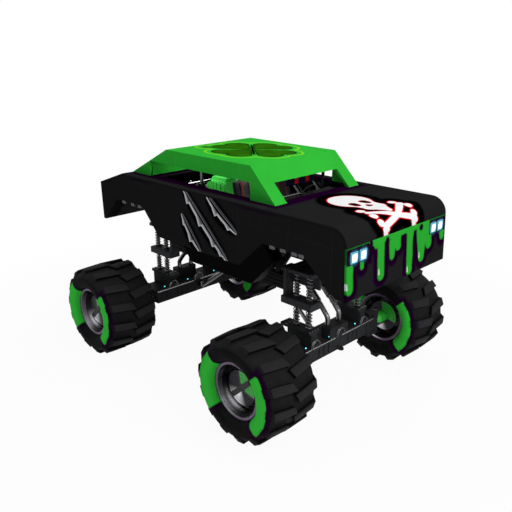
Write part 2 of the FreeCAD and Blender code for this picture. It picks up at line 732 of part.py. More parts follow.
def make_axle(end):
    inb = INBOARD[end]
    ax = AXLE_X[end]
    x_in = ax + inb * AXLE_INBOARD
    x_out = ax - inb * AXLE_OUTBOARD
    plate_x = (rail_end(end), ax - inb * TOWER_OUTER)
    tow_x = x_out - inb * TOW_EYE_REACH
    tow_top = TOW_EYE_Z + TOW_EYE_T
    half = []
    half += [box(x_in, x_out, SHOCK_Y - SHOCK_PEDESTAL_HALF, SHOCK_Y + SHOCK_PEDESTAL_HALF,
                 AXLE_TOP, PEDESTAL_PLATE_Z),
             box(*plate_x, SHOCK_Y - PLATE_HALF, SHOCK_Y + PLATE_HALF,
                 PEDESTAL_PLATE_Z, PEDESTAL_PLATE_Z + PEDESTAL_PLATE_T)]
    half += axle_yoke(ax)
    middle = [box(x_in, x_out, -AXLE_HALF_LENGTH, AXLE_HALF_LENGTH, AXLE_BOTTOM, AXLE_TOP),
              box(ax + inb * CENTRE_PEDESTAL_BACK, x_out, -CENTRE_PEDESTAL_HALF,
                  CENTRE_PEDESTAL_HALF, AXLE_TOP, CENTRE_PEDESTAL_TOP),
              box(x_out, tow_x, -TOW_EYE_HALF, TOW_EYE_HALF, TOW_EYE_Z, tow_top),
              rod(TOW_EYE_HALF, (tow_x, 0, TOW_EYE_Z), (tow_x, 0, tow_top), PIN_SIDES)]
    axle = fuse(middle + half + [mirror_y(piece) for piece in half])
    z0, z1 = TYRE_RADIUS - YOKE_HALF_HEIGHT - 5, TYRE_RADIUS + YOKE_HALF_HEIGHT + 5
    holes = [pin_hole(KINGPIN_RADIUS + PIN_GAP, (ax, y, z0), (ax, y, z1))
             for y in (-KINGPIN_Y, KINGPIN_Y)]
    holes.append(bore(TOW_EYE_RADIUS, (tow_x, 0, TOW_EYE_Z - 5), (tow_x, 0, tow_top + 5)))
    return axle.cut(holes)


def make_knuckle(end, side):
    """Kingpin, hub carrier, dust shield, spindle, and the steering arm that reaches back."""
    ax, z = AXLE_X[end], TYRE_RADIUS
    y = KINGPIN_Y
    boss = YOKE_HALF_HEIGHT - YOKE_ARM - RUNNING_GAP
    pin = YOKE_HALF_HEIGHT + KINGPIN_STAND
    arm_x = ax - STEER_REACH
    arm_z = z - ARM_DROP + STEER_ARM_LIFT
    arm_top = arm_z + STEER_ARM_T
    pieces = [rod(YOKE_RADIUS, (ax, y, z - boss), (ax, y, z + boss), PIN_SIDES),
              rod(KINGPIN_RADIUS, (ax, y, z - pin), (ax, y, z + pin), PIN_SIDES),
              rod(CARRIER_RADIUS, (ax, y, z), (ax, TYRE_Y - CARRIER_REACH, z), PIN_SIDES),
              rod(SPINDLE_RADIUS, (ax, y, z), (ax, TYRE_Y + RIM_DISC_Y - SPINDLE_END, z), PIN_SIDES),
              rod(SHIELD_RADIUS, (ax, SHIELD_Y, z), (ax, SHIELD_Y + SHIELD_T, z), HUB_SIDES),
              box(arm_x, ax - 40, y - STEER_ARM_HALF, y + STEER_ARM_HALF, arm_z, arm_top),
              box(ax - 120, ax - 20, y - STEER_ARM_HALF, y + STEER_ARM_HALF, arm_z, z),
              rod(STEER_EYE_RADIUS, (arm_x, y, arm_z), (arm_x, y, arm_top), PIN_SIDES),
              rod(TIE_PIN_RADIUS, (arm_x, y, arm_z - 2 * STEER_ARM_LIFT), (arm_x, y, arm_z), PIN_SIDES)]
    return on_side(side, fuse(pieces))


def make_tie_rod(end):
    x, z = AXLE_X[end] - STEER_REACH, TYRE_RADIUS - ARM_DROP
    ends = (-KINGPIN_Y, KINGPIN_Y)
    top = z + STEER_ARM_LIFT - RUNNING_GAP
    bottom = top - TIE_EYE_T
    pieces = [rod(TIE_TUBE_RADIUS, (x, ends[0], z), (x, ends[1], z))]
    pieces += [eye_plate(x, y * TIE_EYE_ROOT, y, STEER_EYE_RADIUS, bottom, top) for y in ends]
    holes = [pin_hole(TIE_PIN_RADIUS + PIN_GAP, (x, y, bottom - 5), (x, y, top + 5)) for y in ends]
    return fuse(pieces).cut(holes)


def make_driveline():
    """Transfer case under the cross-members, and a shaft to each axle."""
    top = CROSS_BOTTOM - SEAT_GAP
    pieces = [box(-CASE_HALF_LENGTH, CASE_HALF_LENGTH, SHAFT_Y - CASE_HALF_WIDTH,
                  SHAFT_Y + CASE_HALF_WIDTH, top - CASE_HEIGHT, top)]
    for end in ENDS:
        inb = INBOARD[end]
        start = V(-inb * (CASE_HALF_LENGTH - 5), SHAFT_Y, top - CASE_HEIGHT / 2)
        stop = V(AXLE_X[end] + inb * (AXLE_INBOARD + SEAT_GAP), SHAFT_Y, PINION_Z)
        near = start - V(inb * YOKE_CAP_LENGTH, 0, 0)
        far = stop + V(inb * YOKE_CAP_LENGTH, 0, 0)
        pieces += [rod(SHAFT_RADIUS, near, far), rod(YOKE_CAP_RADIUS, start, near),
                   rod(YOKE_CAP_RADIUS, far, stop)]
    return fuse(pieces)


# ---------------------------------------------------------------- wheels
def at_angle(degrees, radius, y):
    """Corner of a wheel's form about the origin; the angle runs from +X towards +Z."""
    a = math.radians(degrees)
    return V(radius * math.cos(a), y, radius * math.sin(a))


def lug_angles(row, share):
    """Middle of each lug. The outer row's first lug stands on the ground by its leading tip edge,
    and the inner row's lie half a pitch on. share is how much of the chevron's lag is reached."""
    shift = 0.0 if row > 0 else 0.5
    return [LUG_TIP_ANGLE / 2 - 90.0 + (k + shift) * LUG_PITCH + share * LUG_CHEVRON
            for k in range(LUG_COUNT)]


def tread_ring(row, y, share, root, tip):
    """Section of one row of lugs: four corners for each, and the tread's ground between them."""
    ring = []
    for middle in lug_angles(row, share):
        ring += [at_angle(middle - LUG_PITCH / 4, root, row * y),
                 at_angle(middle - LUG_TIP_ANGLE / 2, tip, row * y),
                 at_angle(middle + LUG_TIP_ANGLE / 2, tip, row * y),
                 at_angle(middle + LUG_PITCH / 4, root, row * y)]
    return ring


def tyre_form():
    """Tyre about the origin, outboard side towards +Y. Two rows of chevron lugs meet, half a
    pitch apart, at the tread's middle; each lug tapers, crosses the shoulder and ends on the
    sidewall. Sidewalls, beads and air chamber follow on the lugs' roots."""
    bead = RIM_HALF_WIDTH - RIM_LIP_THICKNESS - BEAD_GAP
    seat = (RIM_SEAT_RADIUS + BEAD_GAP) / math.cos(math.pi / (2 * LUG_COUNT))
    heel_share = 1.1
    # columns: y from the tread's middle, share of the chevron, root radius, tip radius
    stations = ((0.0, 0.0, CARCASS_RADIUS, TYRE_RADIUS),
                (TREAD_HALF_WIDTH, 0.9, SHOULDER_RADIUS, TYRE_RADIUS - LUG_SHOULDER_DROP),
                (HEEL_Y, heel_share, HEEL_RADIUS, HEEL_RADIUS + LUG_HEEL_HEIGHT))
    faces = []
    for row in (1, -1):
        rings = [tread_ring(row, *station) for station in stations]
        faces += band_between(rings)
        for ring in (rings[0], rings[-1]):
            faces += [flat(ring[k:k + 4]) for k in range(0, len(ring), 4)]
    # columns: radius, distance from the tread's middle, from a lug's heel to the air chamber
    half = [(HEEL_RADIUS, HEEL_Y), (SIDEWALL_FOOT_RADIUS, SIDEWALL_HALF_WIDTH - 12),
            (RIM_LIP_RADIUS + 8, bead), (seat, bead), (seat, bead - TYRE_WALL),
            (SHOULDER_RADIUS - 1.5 * TYRE_WALL, SIDEWALL_HALF_WIDTH - 1.5 * TYRE_WALL)]
    rings = []
    for radius, y in half + [(r, -y) for r, y in half[::-1]]:
        rings.append([at_angle(middle + k * LUG_PITCH / 4, radius, y)
                      for middle in lug_angles(1, heel_share) for k in BOTH])
    return solid_of(faces + band_between(rings))


def rim_form():
    """Deep-dish rim, disc, hub, its cap and the bolted bar about the origin, outboard to +Y."""
    lip, seat, well = RIM_LIP_RADIUS, RIM_SEAT_RADIUS, RIM_WELL_RADIUS
    h, t, wy = RIM_HALF_WIDTH, RIM_LIP_THICKNESS, RIM_WELL_Y
    back = RIM_DISC_Y - RIM_DISC_THICKNESS
    # columns: radius, y; round the tyre's side, then the inboard side and the dish
    profile = [(lip, h), (lip, h - t), (seat, h - t), (seat, t - h),
               (lip, t - h), (lip, -h), (seat - RIM_WALL, -h), (well - RIM_WALL, -wy),
               (well - RIM_WALL, back), (0, back), (0, RIM_DISC_Y), (RIM_DISH_RADIUS, RIM_DISC_Y),
               (RIM_STEP_RADIUS, RIM_STEP_Y), (seat - RIM_WALL, h)]
    # columns: radius, y
    hub = [(0, HUB_INNER_Y), (HUB_RADIUS, HUB_INNER_Y), (HUB_RADIUS, HUB_SHOULDER_Y),
           (HUB_NECK_RADIUS, HUB_NECK_Y), (CAP_RADIUS, HUB_NECK_Y),
           (CAP_RADIUS, HUB_NECK_Y + CAP_T), (0, HUB_NECK_Y + CAP_T)]
    origin, axis = (0, 0, 0), (0, 1, 0)
    socket = pin_hole(SPINDLE_RADIUS + PIN_GAP, (0, HUB_INNER_Y - 10, 0),
                      (0, RIM_DISC_Y - SPINDLE_END + RUNNING_GAP, 0))
    bar = box(-BAR_HALF_LENGTH, BAR_HALF_LENGTH, HUB_NECK_Y + CAP_T, HUB_NECK_Y + CAP_T + BAR_T,
              -BAR_HALF_WIDTH, BAR_HALF_WIDTH)
    bar.rotate(V(0, 0, 0), V(0, 1, 0), -BAR_ANGLE)
    rim = fuse([turned(profile, origin, axis, RIM_SIDES), turned(hub, origin, axis, HUB_SIDES), bar])
    return rim.cut(socket)


def place_wheel_piece(form, end, side):
    piece = form.copy()
    piece.translate(V(AXLE_X[end], TYRE_Y, TYRE_RADIUS))
    return on_side(side, piece)


# ---------------------------------------------------------------- cab interior
def make_cage():
    """Two hoops that stand on the floor, joined along the roof and at the belt."""
    tubes = []
    for x in (CAGE_REAR_X, CAGE_FRONT_X):
        hoop = [V(x, -CAGE_Y, CAB_FLOOR), V(x, -CAGE_Y, CAGE_TOP_Z), V(x, CAGE_Y, CAGE_TOP_Z),
                V(x, CAGE_Y, CAB_FLOOR)]
        tubes.append(bent_tube(hoop, CAGE_RADIUS, ROD_SIDES))
    for y in (-CAGE_Y, CAGE_Y):
        for z in (CAGE_TOP_Z - CAGE_RADIUS, CAGE_BAR_Z):
            tubes.append(rod(CAGE_RADIUS, (CAGE_REAR_X, y, z), (CAGE_FRONT_X, y, z)))
    return fuse(tubes)


def make_seats():
    top_x = SEAT_X - SEAT_RAKE
    outline = [(SEAT_X, SEAT_BASE_Z), (SEAT_X + SEAT_LENGTH, SEAT_BASE_Z),
               (SEAT_X + SEAT_LENGTH, SEAT_BASE_Z + SEAT_PAN), (seat_face_x(SEAT_BASE_Z + SEAT_PAN),
                                                              SEAT_BASE_Z + SEAT_PAN),
               (top_x + SEAT_BACK, SEAT_TOP_Z), (top_x, SEAT_TOP_Z)]
    seats = []
    for s in BOTH:
        y = s * SEAT_Y
        shell = prism_y(outline, y - SEAT_HALF, y + SEAT_HALF)
        plinth = box(SEAT_X + PLINTH_INSET, SEAT_X + SEAT_LENGTH - PLINTH_INSET,
                     y - SEAT_HALF + PLINTH_INSET, y + SEAT_HALF - PLINTH_INSET,
                     CAB_FLOOR, SEAT_BASE_Z)
        seats.append(fuse([shell, plinth]))
    return seats


def seat_face_x(z):
    """Front face of the seat backs."""
    share = (z - SEAT_BASE_Z) / (SEAT_TOP_Z - SEAT_BASE_Z)
    return SEAT_X + SEAT_BACK - share * SEAT_RAKE


def make_harness():
    """Two shoulder straps on each seat back, lying on its front face."""
    z0, z1 = SEAT_BASE_Z + SEAT_PAN + 10, SEAT_TOP_Z - 20
    x0, x1 = seat_face_x(z0) + SEAT_GAP, seat_face_x(z1) + SEAT_GAP
    outline = [(x0, z0), (x0 + STRAP_T, z0), (x1 + STRAP_T, z1), (x1, z1)]
    places = [s * SEAT_Y + k * STRAP_Y for s in BOTH for k in BOTH]
    return [prism_y(outline, y - STRAP_HALF, y + STRAP_HALF) for y in places]


def make_engine():
    return box(ENGINE_X - ENGINE_HALF_LENGTH, ENGINE_X + ENGINE_HALF_LENGTH, -ENGINE_HALF_WIDTH,
               ENGINE_HALF_WIDTH, CAB_FLOOR, ENGINE_TOP)


def make_blower():
    """Ribbed supercharger case with the intake scoop on top."""
    x, z = ENGINE_X, ENGINE_TOP + SEAT_GAP
    top = z + BLOWER_HEIGHT
    foot, head = BLOWER_HALF_LENGTH, BLOWER_HALF_LENGTH - BLOWER_TAPER
    pieces = [prism_y([(x - foot, z), (x + foot, z), (x + head, top), (x - head, top)],
                      -BLOWER_HALF_WIDTH, BLOWER_HALF_WIDTH),
              prism_y([(x - SCOOP_FOOT, top), (x + SCOOP_FOOT, top),
                       (x + SCOOP_NOSE, top + SCOOP_HEIGHT), (x - SCOOP_TAIL, top + SCOOP_HEIGHT)],
                      -SCOOP_HALF_WIDTH, SCOOP_HALF_WIDTH)]
    pitch = 2 * head / BLOWER_RIBS
    for k in range(BLOWER_RIBS):
        xr = x - head + (k + 0.5) * pitch
        pieces.append(box(xr - BLOWER_RIB, xr + BLOWER_RIB, -BLOWER_HALF_WIDTH - BLOWER_RIB,
                          BLOWER_HALF_WIDTH + BLOWER_RIB, z + 20, top - 20))
    return fuse(pieces)


def make_pipes():
    """Exhaust pipes that leave the engine's sides and rise towards the rear."""
    start = ENGINE_HALF_WIDTH + SEAT_GAP
    pipes = []
    for s in BOTH:
        for k in range(PIPE_COUNT):
            x = ENGINE_X + (k - (PIPE_COUNT - 1) / 2) * PIPE_PITCH
            out = start + PIPE_OUT
            route = [V(x, s * start, PIPE_Z), V(x, s * out, PIPE_Z),
                     V(x - PIPE_OUT, s * (out + PIPE_SPREAD), PIPE_TOP_Z)]
            pipes.append(bent_tube(route, PIPE_RADIUS, ROD_SIDES))
    return pipes


def floor_top(x):
    """Height of the front arch's ceiling panel, on its rear slope."""
    foot, shoulder = arch_points("front")[:2]
    share = (x - foot[0]) / (shoulder[0] - foot[0])
    return SILL_Z + PANEL + share * (shoulder[1] - foot[1])


def make_dash():
    """Bulkhead and instrument shelf, standing on the front arch's slope."""
    x1 = CAB_FRONT_X - DASH_SET_BACK
    x0 = x1 - DASH_DEPTH
    outline = [(x0, floor_top(x0) + SEAT_GAP), (x1, floor_top(x1) + SEAT_GAP),
               (x1, DASH_TOP_Z), (x0, DASH_TOP_Z)]
    return prism_y(outline, -DASH_HALF, DASH_HALF)


def make_steering_wheel():
    """Rim, spokes and column in front of the left seat, seated on the dash."""
    tilt = math.radians(COLUMN_TILT)
    axis = V(-math.cos(tilt), 0, math.sin(tilt))
    face = V(CAB_FRONT_X - DASH_SET_BACK - DASH_DEPTH - SEAT_GAP, SEAT_Y, COLUMN_Z)
    foot = face + axis * (COLUMN_RADIUS * math.tan(tilt))
    hub = face + axis * COLUMN_LENGTH
    half = STEERING_RIM / 2
    ring = [(STEERING_RADIUS - half, -half), (STEERING_RADIUS + half, -half),
            (STEERING_RADIUS + half, half), (STEERING_RADIUS - half, half)]
    rim = turned(ring, hub, axis, 2 * ROD_SIDES)
    spokes = [rod(SPOKE_RADIUS, hub, hub + arm * STEERING_RADIUS, 4)
              for arm in (V(0, 1, 0), V(0, -1, 0), V(0, 1, 0).cross(axis))]
    return fuse([rod(COLUMN_RADIUS, foot, hub + axis * half), rim] + spokes)


# ---------------------------------------------------------------- write every node
def write(name, shape):
    if not shape.isValid():
        print("NOT VALID", name)
    shape.exportStep("parts/" + name + ".step")
    print("%-26s solids %2d  volume %.4f m3" % (name, len(shape.Solids), shape.Volume / 1e9))


def write_group(name, shapes):
    write(name, Part.makeCompound(list(shapes)))


os.makedirs("parts", exist_ok=True)
band = skin_band()
write("hood", make_hood(band))
write("nose_panel", make_nose(band))
write("rear_deck", make_rear_deck(band))
write("tail_panel", make_tail(band))
write("floor_pan", make_floor())
write_group("rockers", make_rockers())
write("roof", make_roof())
write_group("headlamps", make_headlamps())
write("frame_rails", make_frame())
write_group("shock_towers", make_towers())
write("driveline", make_driveline())
write("roll_cage", make_cage())
write_group("seats", make_seats())
write_group("harness", make_harness())
write("dash", make_dash())
write("steering_wheel", make_steering_wheel())
write("engine_block", make_engine())
write("supercharger", make_blower())
write_group("exhaust_pipes", make_pipes())
tyre = tyre_form()
rim = rim_form()
for side in SIDE:
    write("side_" + side, make_side(side))
for end in ENDS:
    write("axle_" + end, make_axle(end))
    write("tie_rod_" + end, make_tie_rod(end))
    write_group("radius_arms_" + end, make_radius_arms(end))
    for side in SIDE:
        corner = "_%s_%s" % (end, side)
        write_group("coilovers" + corner, make_coilovers(end, side))
        write("knuckle" + corner, make_knuckle(end, side))
        write("rim" + corner, place_wheel_piece(rim, end, side))
        write("tyre" + corner, place_wheel_piece(tyre, end, side))
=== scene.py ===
"""Looks of the four-wheel-steer monster truck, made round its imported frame. Metres, Z up,
+X towards the nose, +Y to the truck's left."""

import json
import math

import bmesh
import bpy
from mathutils import Matrix, Vector


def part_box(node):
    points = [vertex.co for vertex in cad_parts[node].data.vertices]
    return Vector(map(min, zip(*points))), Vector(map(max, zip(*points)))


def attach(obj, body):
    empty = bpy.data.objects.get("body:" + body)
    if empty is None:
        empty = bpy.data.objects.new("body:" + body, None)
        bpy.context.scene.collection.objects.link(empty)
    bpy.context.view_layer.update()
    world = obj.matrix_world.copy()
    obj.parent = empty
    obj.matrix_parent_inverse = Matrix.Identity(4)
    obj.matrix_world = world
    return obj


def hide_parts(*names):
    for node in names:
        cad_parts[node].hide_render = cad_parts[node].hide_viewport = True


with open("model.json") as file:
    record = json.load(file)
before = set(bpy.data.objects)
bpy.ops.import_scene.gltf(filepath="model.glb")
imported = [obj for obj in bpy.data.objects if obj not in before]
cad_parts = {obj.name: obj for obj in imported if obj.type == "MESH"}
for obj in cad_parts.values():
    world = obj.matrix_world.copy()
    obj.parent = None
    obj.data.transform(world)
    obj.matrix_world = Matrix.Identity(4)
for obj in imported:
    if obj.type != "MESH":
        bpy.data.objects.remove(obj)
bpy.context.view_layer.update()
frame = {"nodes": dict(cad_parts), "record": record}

JOINT_AT = {j["name"]: Vector(j["pos_m"]) for j in frame["record"]["behaviour"]["joints"]}
ENDS = ("front", "rear")
SIDES = ("right", "left")
OUT = {"right": -1.0, "left": 1.0}
CORNERS = [(end, side) for end in ENDS for side in SIDES]
INBOARD = {"front": -1.0, "rear": 1.0}


def wheel_centre(end, side):
    """Where a wheel's axle line crosses the wheel's middle plane."""
    return JOINT_AT["wheel_%s_%s_spin" % (end, side)]


# ------------------------------------------------------------------ node trees
def maths(operation):
    """A method of Wire that adds one Math node."""
    return lambda wire, *others: wire.math(operation, *others)


class Wire:
    """One value in a node tree. Arithmetic on it adds Math nodes."""

    __add__ = __radd__ = maths("ADD")
    __mul__ = __rmul__ = maths("MULTIPLY")
    __sub__, __truediv__, __pow__ = maths("SUBTRACT"), maths("DIVIDE"), maths("POWER")
    __abs__ = maths("ABSOLUTE")
    # the smaller, the larger, and the smaller with a soft change between the two
    least, most, melt = maths("MINIMUM"), maths("MAXIMUM"), maths("SMOOTH_MIN")

    def __init__(self, tree, socket):
        self.tree = tree
        self.socket = socket

    def math(self, operation, *others):
        """Any Math node, with this value first."""
        return self.tree.node("ShaderNodeMath", {"operation": operation}, dict(enumerate((self,) + others)))

    def __rsub__(self, other):
        return self.tree.node("ShaderNodeMath", {"operation": "SUBTRACT"}, {0: other, 1: self})

    def __neg__(self):
        return self * -1.0

    def clamped(self):
        """Held between 0 and 1."""
        return self.most(0.0).least(1.0)

    def fade(self, start, stop):
        """0 at start, 1 at stop, and straight between."""
        return ((self - start) / (stop - start)).clamped()


class Tree:
    """A node tree that is written as expressions."""

    def __init__(self, tree):
        self.tree = tree

    def node(self, kind, settings=None, sockets=None, output=0):
        """Any node: its settings first, then its sockets' values or links."""
        made = self.tree.nodes.new(kind)
        for key, value in (settings or {}).items():
            setattr(made, key, value)
        for key, value in (sockets or {}).items():
            for wire in (value if isinstance(value, list) else [value]):
                if isinstance(wire, Wire):
                    self.tree.links.new(wire.socket, made.inputs[key])
                else:
                    made.inputs[key].default_value = wire
        if not made.outputs:
            return None
        if isinstance(output, tuple):
            return [Wire(self, made.outputs[k]) for k in output]
        return Wire(self, made.outputs[output])


def rgb(red, green, blue):
    """Linear colour from the 0 to 255 values of a paint chart."""
    chart = [v / 255.0 for v in (red, green, blue)]
    return tuple([v / 12.92 if v < 0.04045 else ((v + 0.055) / 1.055) ** 2.4 for v in chart] + [1.0])


class Finish(Tree):
    """A procedural material."""

    def __init__(self, name):
        self.material = bpy.data.materials.new(name)
        self.material.use_nodes = True
        self.material.node_tree.nodes.clear()
        super().__init__(self.material.node_tree)
        self.place = self.node("ShaderNodeTexCoord", output=3)

    def xyz(self, vector=None):
        """The three parts of a vector, or of the place in the truck's frame."""
        return self.node("ShaderNodeSeparateXYZ", {}, {0: vector or self.place}, (0, 1, 2))

    def attribute(self, name):
        """A vector stored on the mesh."""
        return self.node("ShaderNodeAttribute", {"attribute_name": name}, {}, 1)

    def noise(self, scale, detail=3.0, stretch=None):
        """Smooth noise through the solid, 0 to 1."""
        place = self.place
        if stretch:
            place = self.node("ShaderNodeMapping", {}, {"Vector": place, "Scale": stretch})
        return self.node("ShaderNodeTexNoise", {}, {"Vector": place, "Scale": scale, "Detail": detail})

    def cells(self, scale):
        """Distance to the nearest of scattered points."""
        return self.node("ShaderNodeTexVoronoi", {}, {"Vector": self.place, "Scale": scale})

    def facing(self):
        """The way the surface faces, as its three parts."""
        return self.xyz(self.node("ShaderNodeNewGeometry", {}, {}, 1))

    def mix(self, share, base, over):
        """One colour over another, by its share."""
        return self.node("ShaderNodeMix", {"data_type": "RGBA"}, {0: share, 6: base, 7: over}, 2)

    def bump(self, height, distance, strength=1.0):
        """The surface's direction, tilted by a height in metres of distance."""
        return self.node("ShaderNodeBump", {}, {"Height": height, "Distance": distance, "Strength": strength})

    def shade(self, **values):
        """The surface itself; names are the shader's own, with _ for a space."""
        sockets = {key.replace("_", " "): value for key, value in values.items()}
        shader = self.node("ShaderNodeBsdfPrincipled", {}, sockets)
        self.node("ShaderNodeOutputMaterial", {}, {"Surface": shader})
        return self.material


# ------------------------------------------------------------------ painted shapes
def inside(distance, soft=0.004):
    """1 where a signed distance is negative."""
    return (0.5 - distance / soft).clamped()


def ring_mask(distance, near, far, soft=0.004):
    """1 between two signed distances."""
    return inside(distance - far, soft) * (1 - inside(distance - near, soft))


def spot(u, v, at, radius):
    """Distance to a disc."""
    return ((u - at[0]) ** 2 + (v - at[1]) ** 2) ** 0.5 - radius


def stroke(u, v, start, end, r0, r1=None):
    """Distance to a line with round ends that widens from r0 to r1."""
    r1 = r0 if r1 is None else r1
    du, dv = end[0] - start[0], end[1] - start[1]
    length = du * du + dv * dv
    along = (((u - start[0]) * du + (v - start[1]) * dv) / length).clamped()
    gap_u = u - start[0] - along * du
    gap_v = v - start[1] - along * dv
    return (gap_u ** 2 + gap_v ** 2) ** 0.5 - (along * (r1 - r0) + r0)


def of_all(choose, values):
    """Folds masks or distances into one, with Wire.most or Wire.least."""
    values = list(values)
    whole = values[0]
    for value in values[1:]:
        whole = choose(whole, value)
    return whole


def tile(u, v, at, half_u, half_v):
    """Distance to a rectangle, correct on its sides."""
    return (abs(u - at[0]) - half_u).most(abs(v - at[1]) - half_v)


BLACK = rgb(36, 36, 37)
DEEP = rgb(2, 2, 3)
PURPLE = rgb(31, 0, 35)
GREEN = rgb(57, 202, 63)
PAINT_WHITE = (1.0, 1.0, 1.0, 1.0)
RED = rgb(226, 26, 30)


def deeper(base, share):
    """The same colour at a share of its light."""
    return tuple([v * share for v in base[:3]] + [1.0])


def painted(name, base, marks=None, grime=0.10):
    """Sprayed paint: slight orange peel, cloudy fading and grey scuffs, then the panel's own marks."""
    f = Finish(name)
    x, y, z = f.xyz()
    cloud = f.noise(1.7, 5.0)
    scuff = f.noise(9.0, 6.0, stretch=(0.35, 0.35, 2.2))
    colour = f.mix(cloud.fade(0.35, 0.75) * 0.30, base, deeper(base, 0.72))
    worn = scuff.fade(0.66, 0.78) * grime
    colour = f.mix(worn * 0.35, colour, rgb(92, 92, 92))
    roughness = cloud * 0.10 + worn * 0.18 + 0.45
    if marks:
        colour, roughness = marks(f, x, y, z, colour, roughness)
    peel = f.bump(f.noise(170.0, 2.0), 0.0006, 0.25)
    return f.shade(Base_Color=colour, Roughness=roughness, Normal=peel, Specular_IOR_Level=0.0, Metallic=0.0)


def claw(f, u, v, start, end, width, bend, barbs):
    """One bowed slash of silver paint with torn barbs, two thin lines beside it, and a painted shadow round
    all.
    """
    du, dv = end[0] - start[0], end[1] - start[1]
    length = math.hypot(du, dv)
    du, dv = du / length, dv / length
    along = ((u - start[0]) * du + (v - start[1]) * dv) / length
    share = along.clamped()
    hump = share * (1 - share) * 4
    off = (u - start[0]) * -dv + (v - start[1]) * du + hump * bend
    swell = hump.most(0.0001) ** 0.45
    # a barb rises slowly along the slash and drops at once
    tears = []
    for at, reach in barbs:
        rise = (along - at) * length
        tears.append((rise + reach * 2.4).fade(0.0, reach * 2.4) * (1 - rise.fade(0.0, 0.030)) * reach)
    low = swell * width + of_all(Wire.most, tears)
    ends = along.fade(0.0, 0.008) * (1 - along.fade(0.992, 1.0))
    solid = inside(0 - off - low, 0.010) * inside(off - swell * width * 0.6, 0.010) * ends
    lines = inside(abs(off - swell * 0.072) - 0.0060, 0.006).most(
        inside(abs(off - swell * 0.104) - 0.0045, 0.006) * 0.6)
    # painted shadow: near black round the slash, widest at its middle
    dark = (1 - (abs(off - swell * 0.020) - swell * 0.150).fade(-0.03, 0.03)) * hump.fade(0.0, 0.12)
    grey = f.mix((off + low).fade(0.010, 0.075), rgb(252, 252, 255), rgb(128, 128, 132))
    return solid, lines * ends, dark, grey


# columns: top end (x, z), bottom end, half width, bow, barbs as (share along, reach)
SLASHES = (((-0.445, 3.312), (0.665, 2.258), 0.036, 0.045,
            ((0.17, 0.060), (0.46, 0.065), (0.74, 0.055), (0.88, 0.040))),
           ((0.140, 3.312), (0.880, 2.778), 0.029, 0.055, ((0.42, 0.060), (0.80, 0.045))),
           ((-0.495, 2.855), (0.000, 2.258), 0.030, 0.045, ((0.22, 0.035), (0.62, 0.060))))
# columns: place along the truck, foot
SIDE_SEAMS = ((-1.62, 2.98), (0.916, 2.30), (1.952, 2.78), (2.741, 2.30))


def side_marks(f, x, y, z, colour, roughness):
    """Three claw slashes, panel seams, and the purple that spreads from the nose and the roof's foot."""
    parts = [claw(f, x, z, *slash) for slash in SLASHES]
    # the slashes' painted shadows go on first
    for _, _, dark, _ in parts:
        colour = f.mix(dark, colour, DEEP)
    halo = (x - 2.93).fade(0.0, 0.07) * (z - 2.30).fade(0.0, 0.08)
    colour = f.mix(halo, colour, PURPLE)
    spans = [(x - start).fade(0.0, 0.2) * (1 - (x - stop).fade(0.0, 0.2))
             for start, stop in ((-2.05, -1.55), (0.75, 1.60))]
    colour = f.mix((z - 3.20).fade(0.0, 0.08) * of_all(Wire.most, spans), colour, PURPLE)
    seams = of_all(Wire.most, (inside(abs(x - at) - 0.004, 0.003) * (z - low).fade(0.0, 0.01)
                               for at, low in SIDE_SEAMS))
    sill = inside(abs(z - 3.03 + x * 0.012) - 0.003, 0.003) * (x - 0.93).fade(0.0, 0.01)
    colour = f.mix(seams.most(sill) * 0.5, colour, rgb(52, 52, 54))
    for solid, line, _, grey in parts:
        colour = f.mix(solid, f.mix(line, colour, rgb(168, 168, 172)), grey)
    return colour, roughness + of_all(Wire.most, (part[0] for part in parts)) * 0.12


def roof_halo(x, y):
    """Share of the purple sprayed round the roof's foot."""
    return 1 - tile(x, y, (-0.38, 0.0), 1.85, 1.03).fade(0.06, 0.15)


def deck_marks(f, x, y, z, colour, roughness):
    """A lighter top face, and the purple round the roof's foot."""
    strip = (z - 3.285).fade(0.0, 0.004)
    colour = f.mix(strip * 0.4, colour, rgb(44, 44, 46))
    return f.mix(roof_halo(x, y) * strip, colour, PURPLE), roughness


# the hood's rolled front edge: where it starts, its middle's height, its radius
ROLL_START, ROLL_Z, ROLL_RADIUS = 3.0225 - 0.246, 3.05, 0.246
# the crossed bones, as (along the hood, across it)
BONE_CROSS = (2.908, 0.033)
BONE_TIPS = ((2.66, 0.430), (3.03, -0.350), (2.66, -0.365), (3.03, 0.365))
BONE_KNOBS = ((2.545, 0.405), (2.785, 0.465), (2.530, -0.375), (2.790, -0.420),
              (2.955, -0.420), (3.070, -0.350), (2.965, 0.415), (3.070, 0.385))
BONE_FEET = ((3.12, -0.387), (3.12, 0.335))


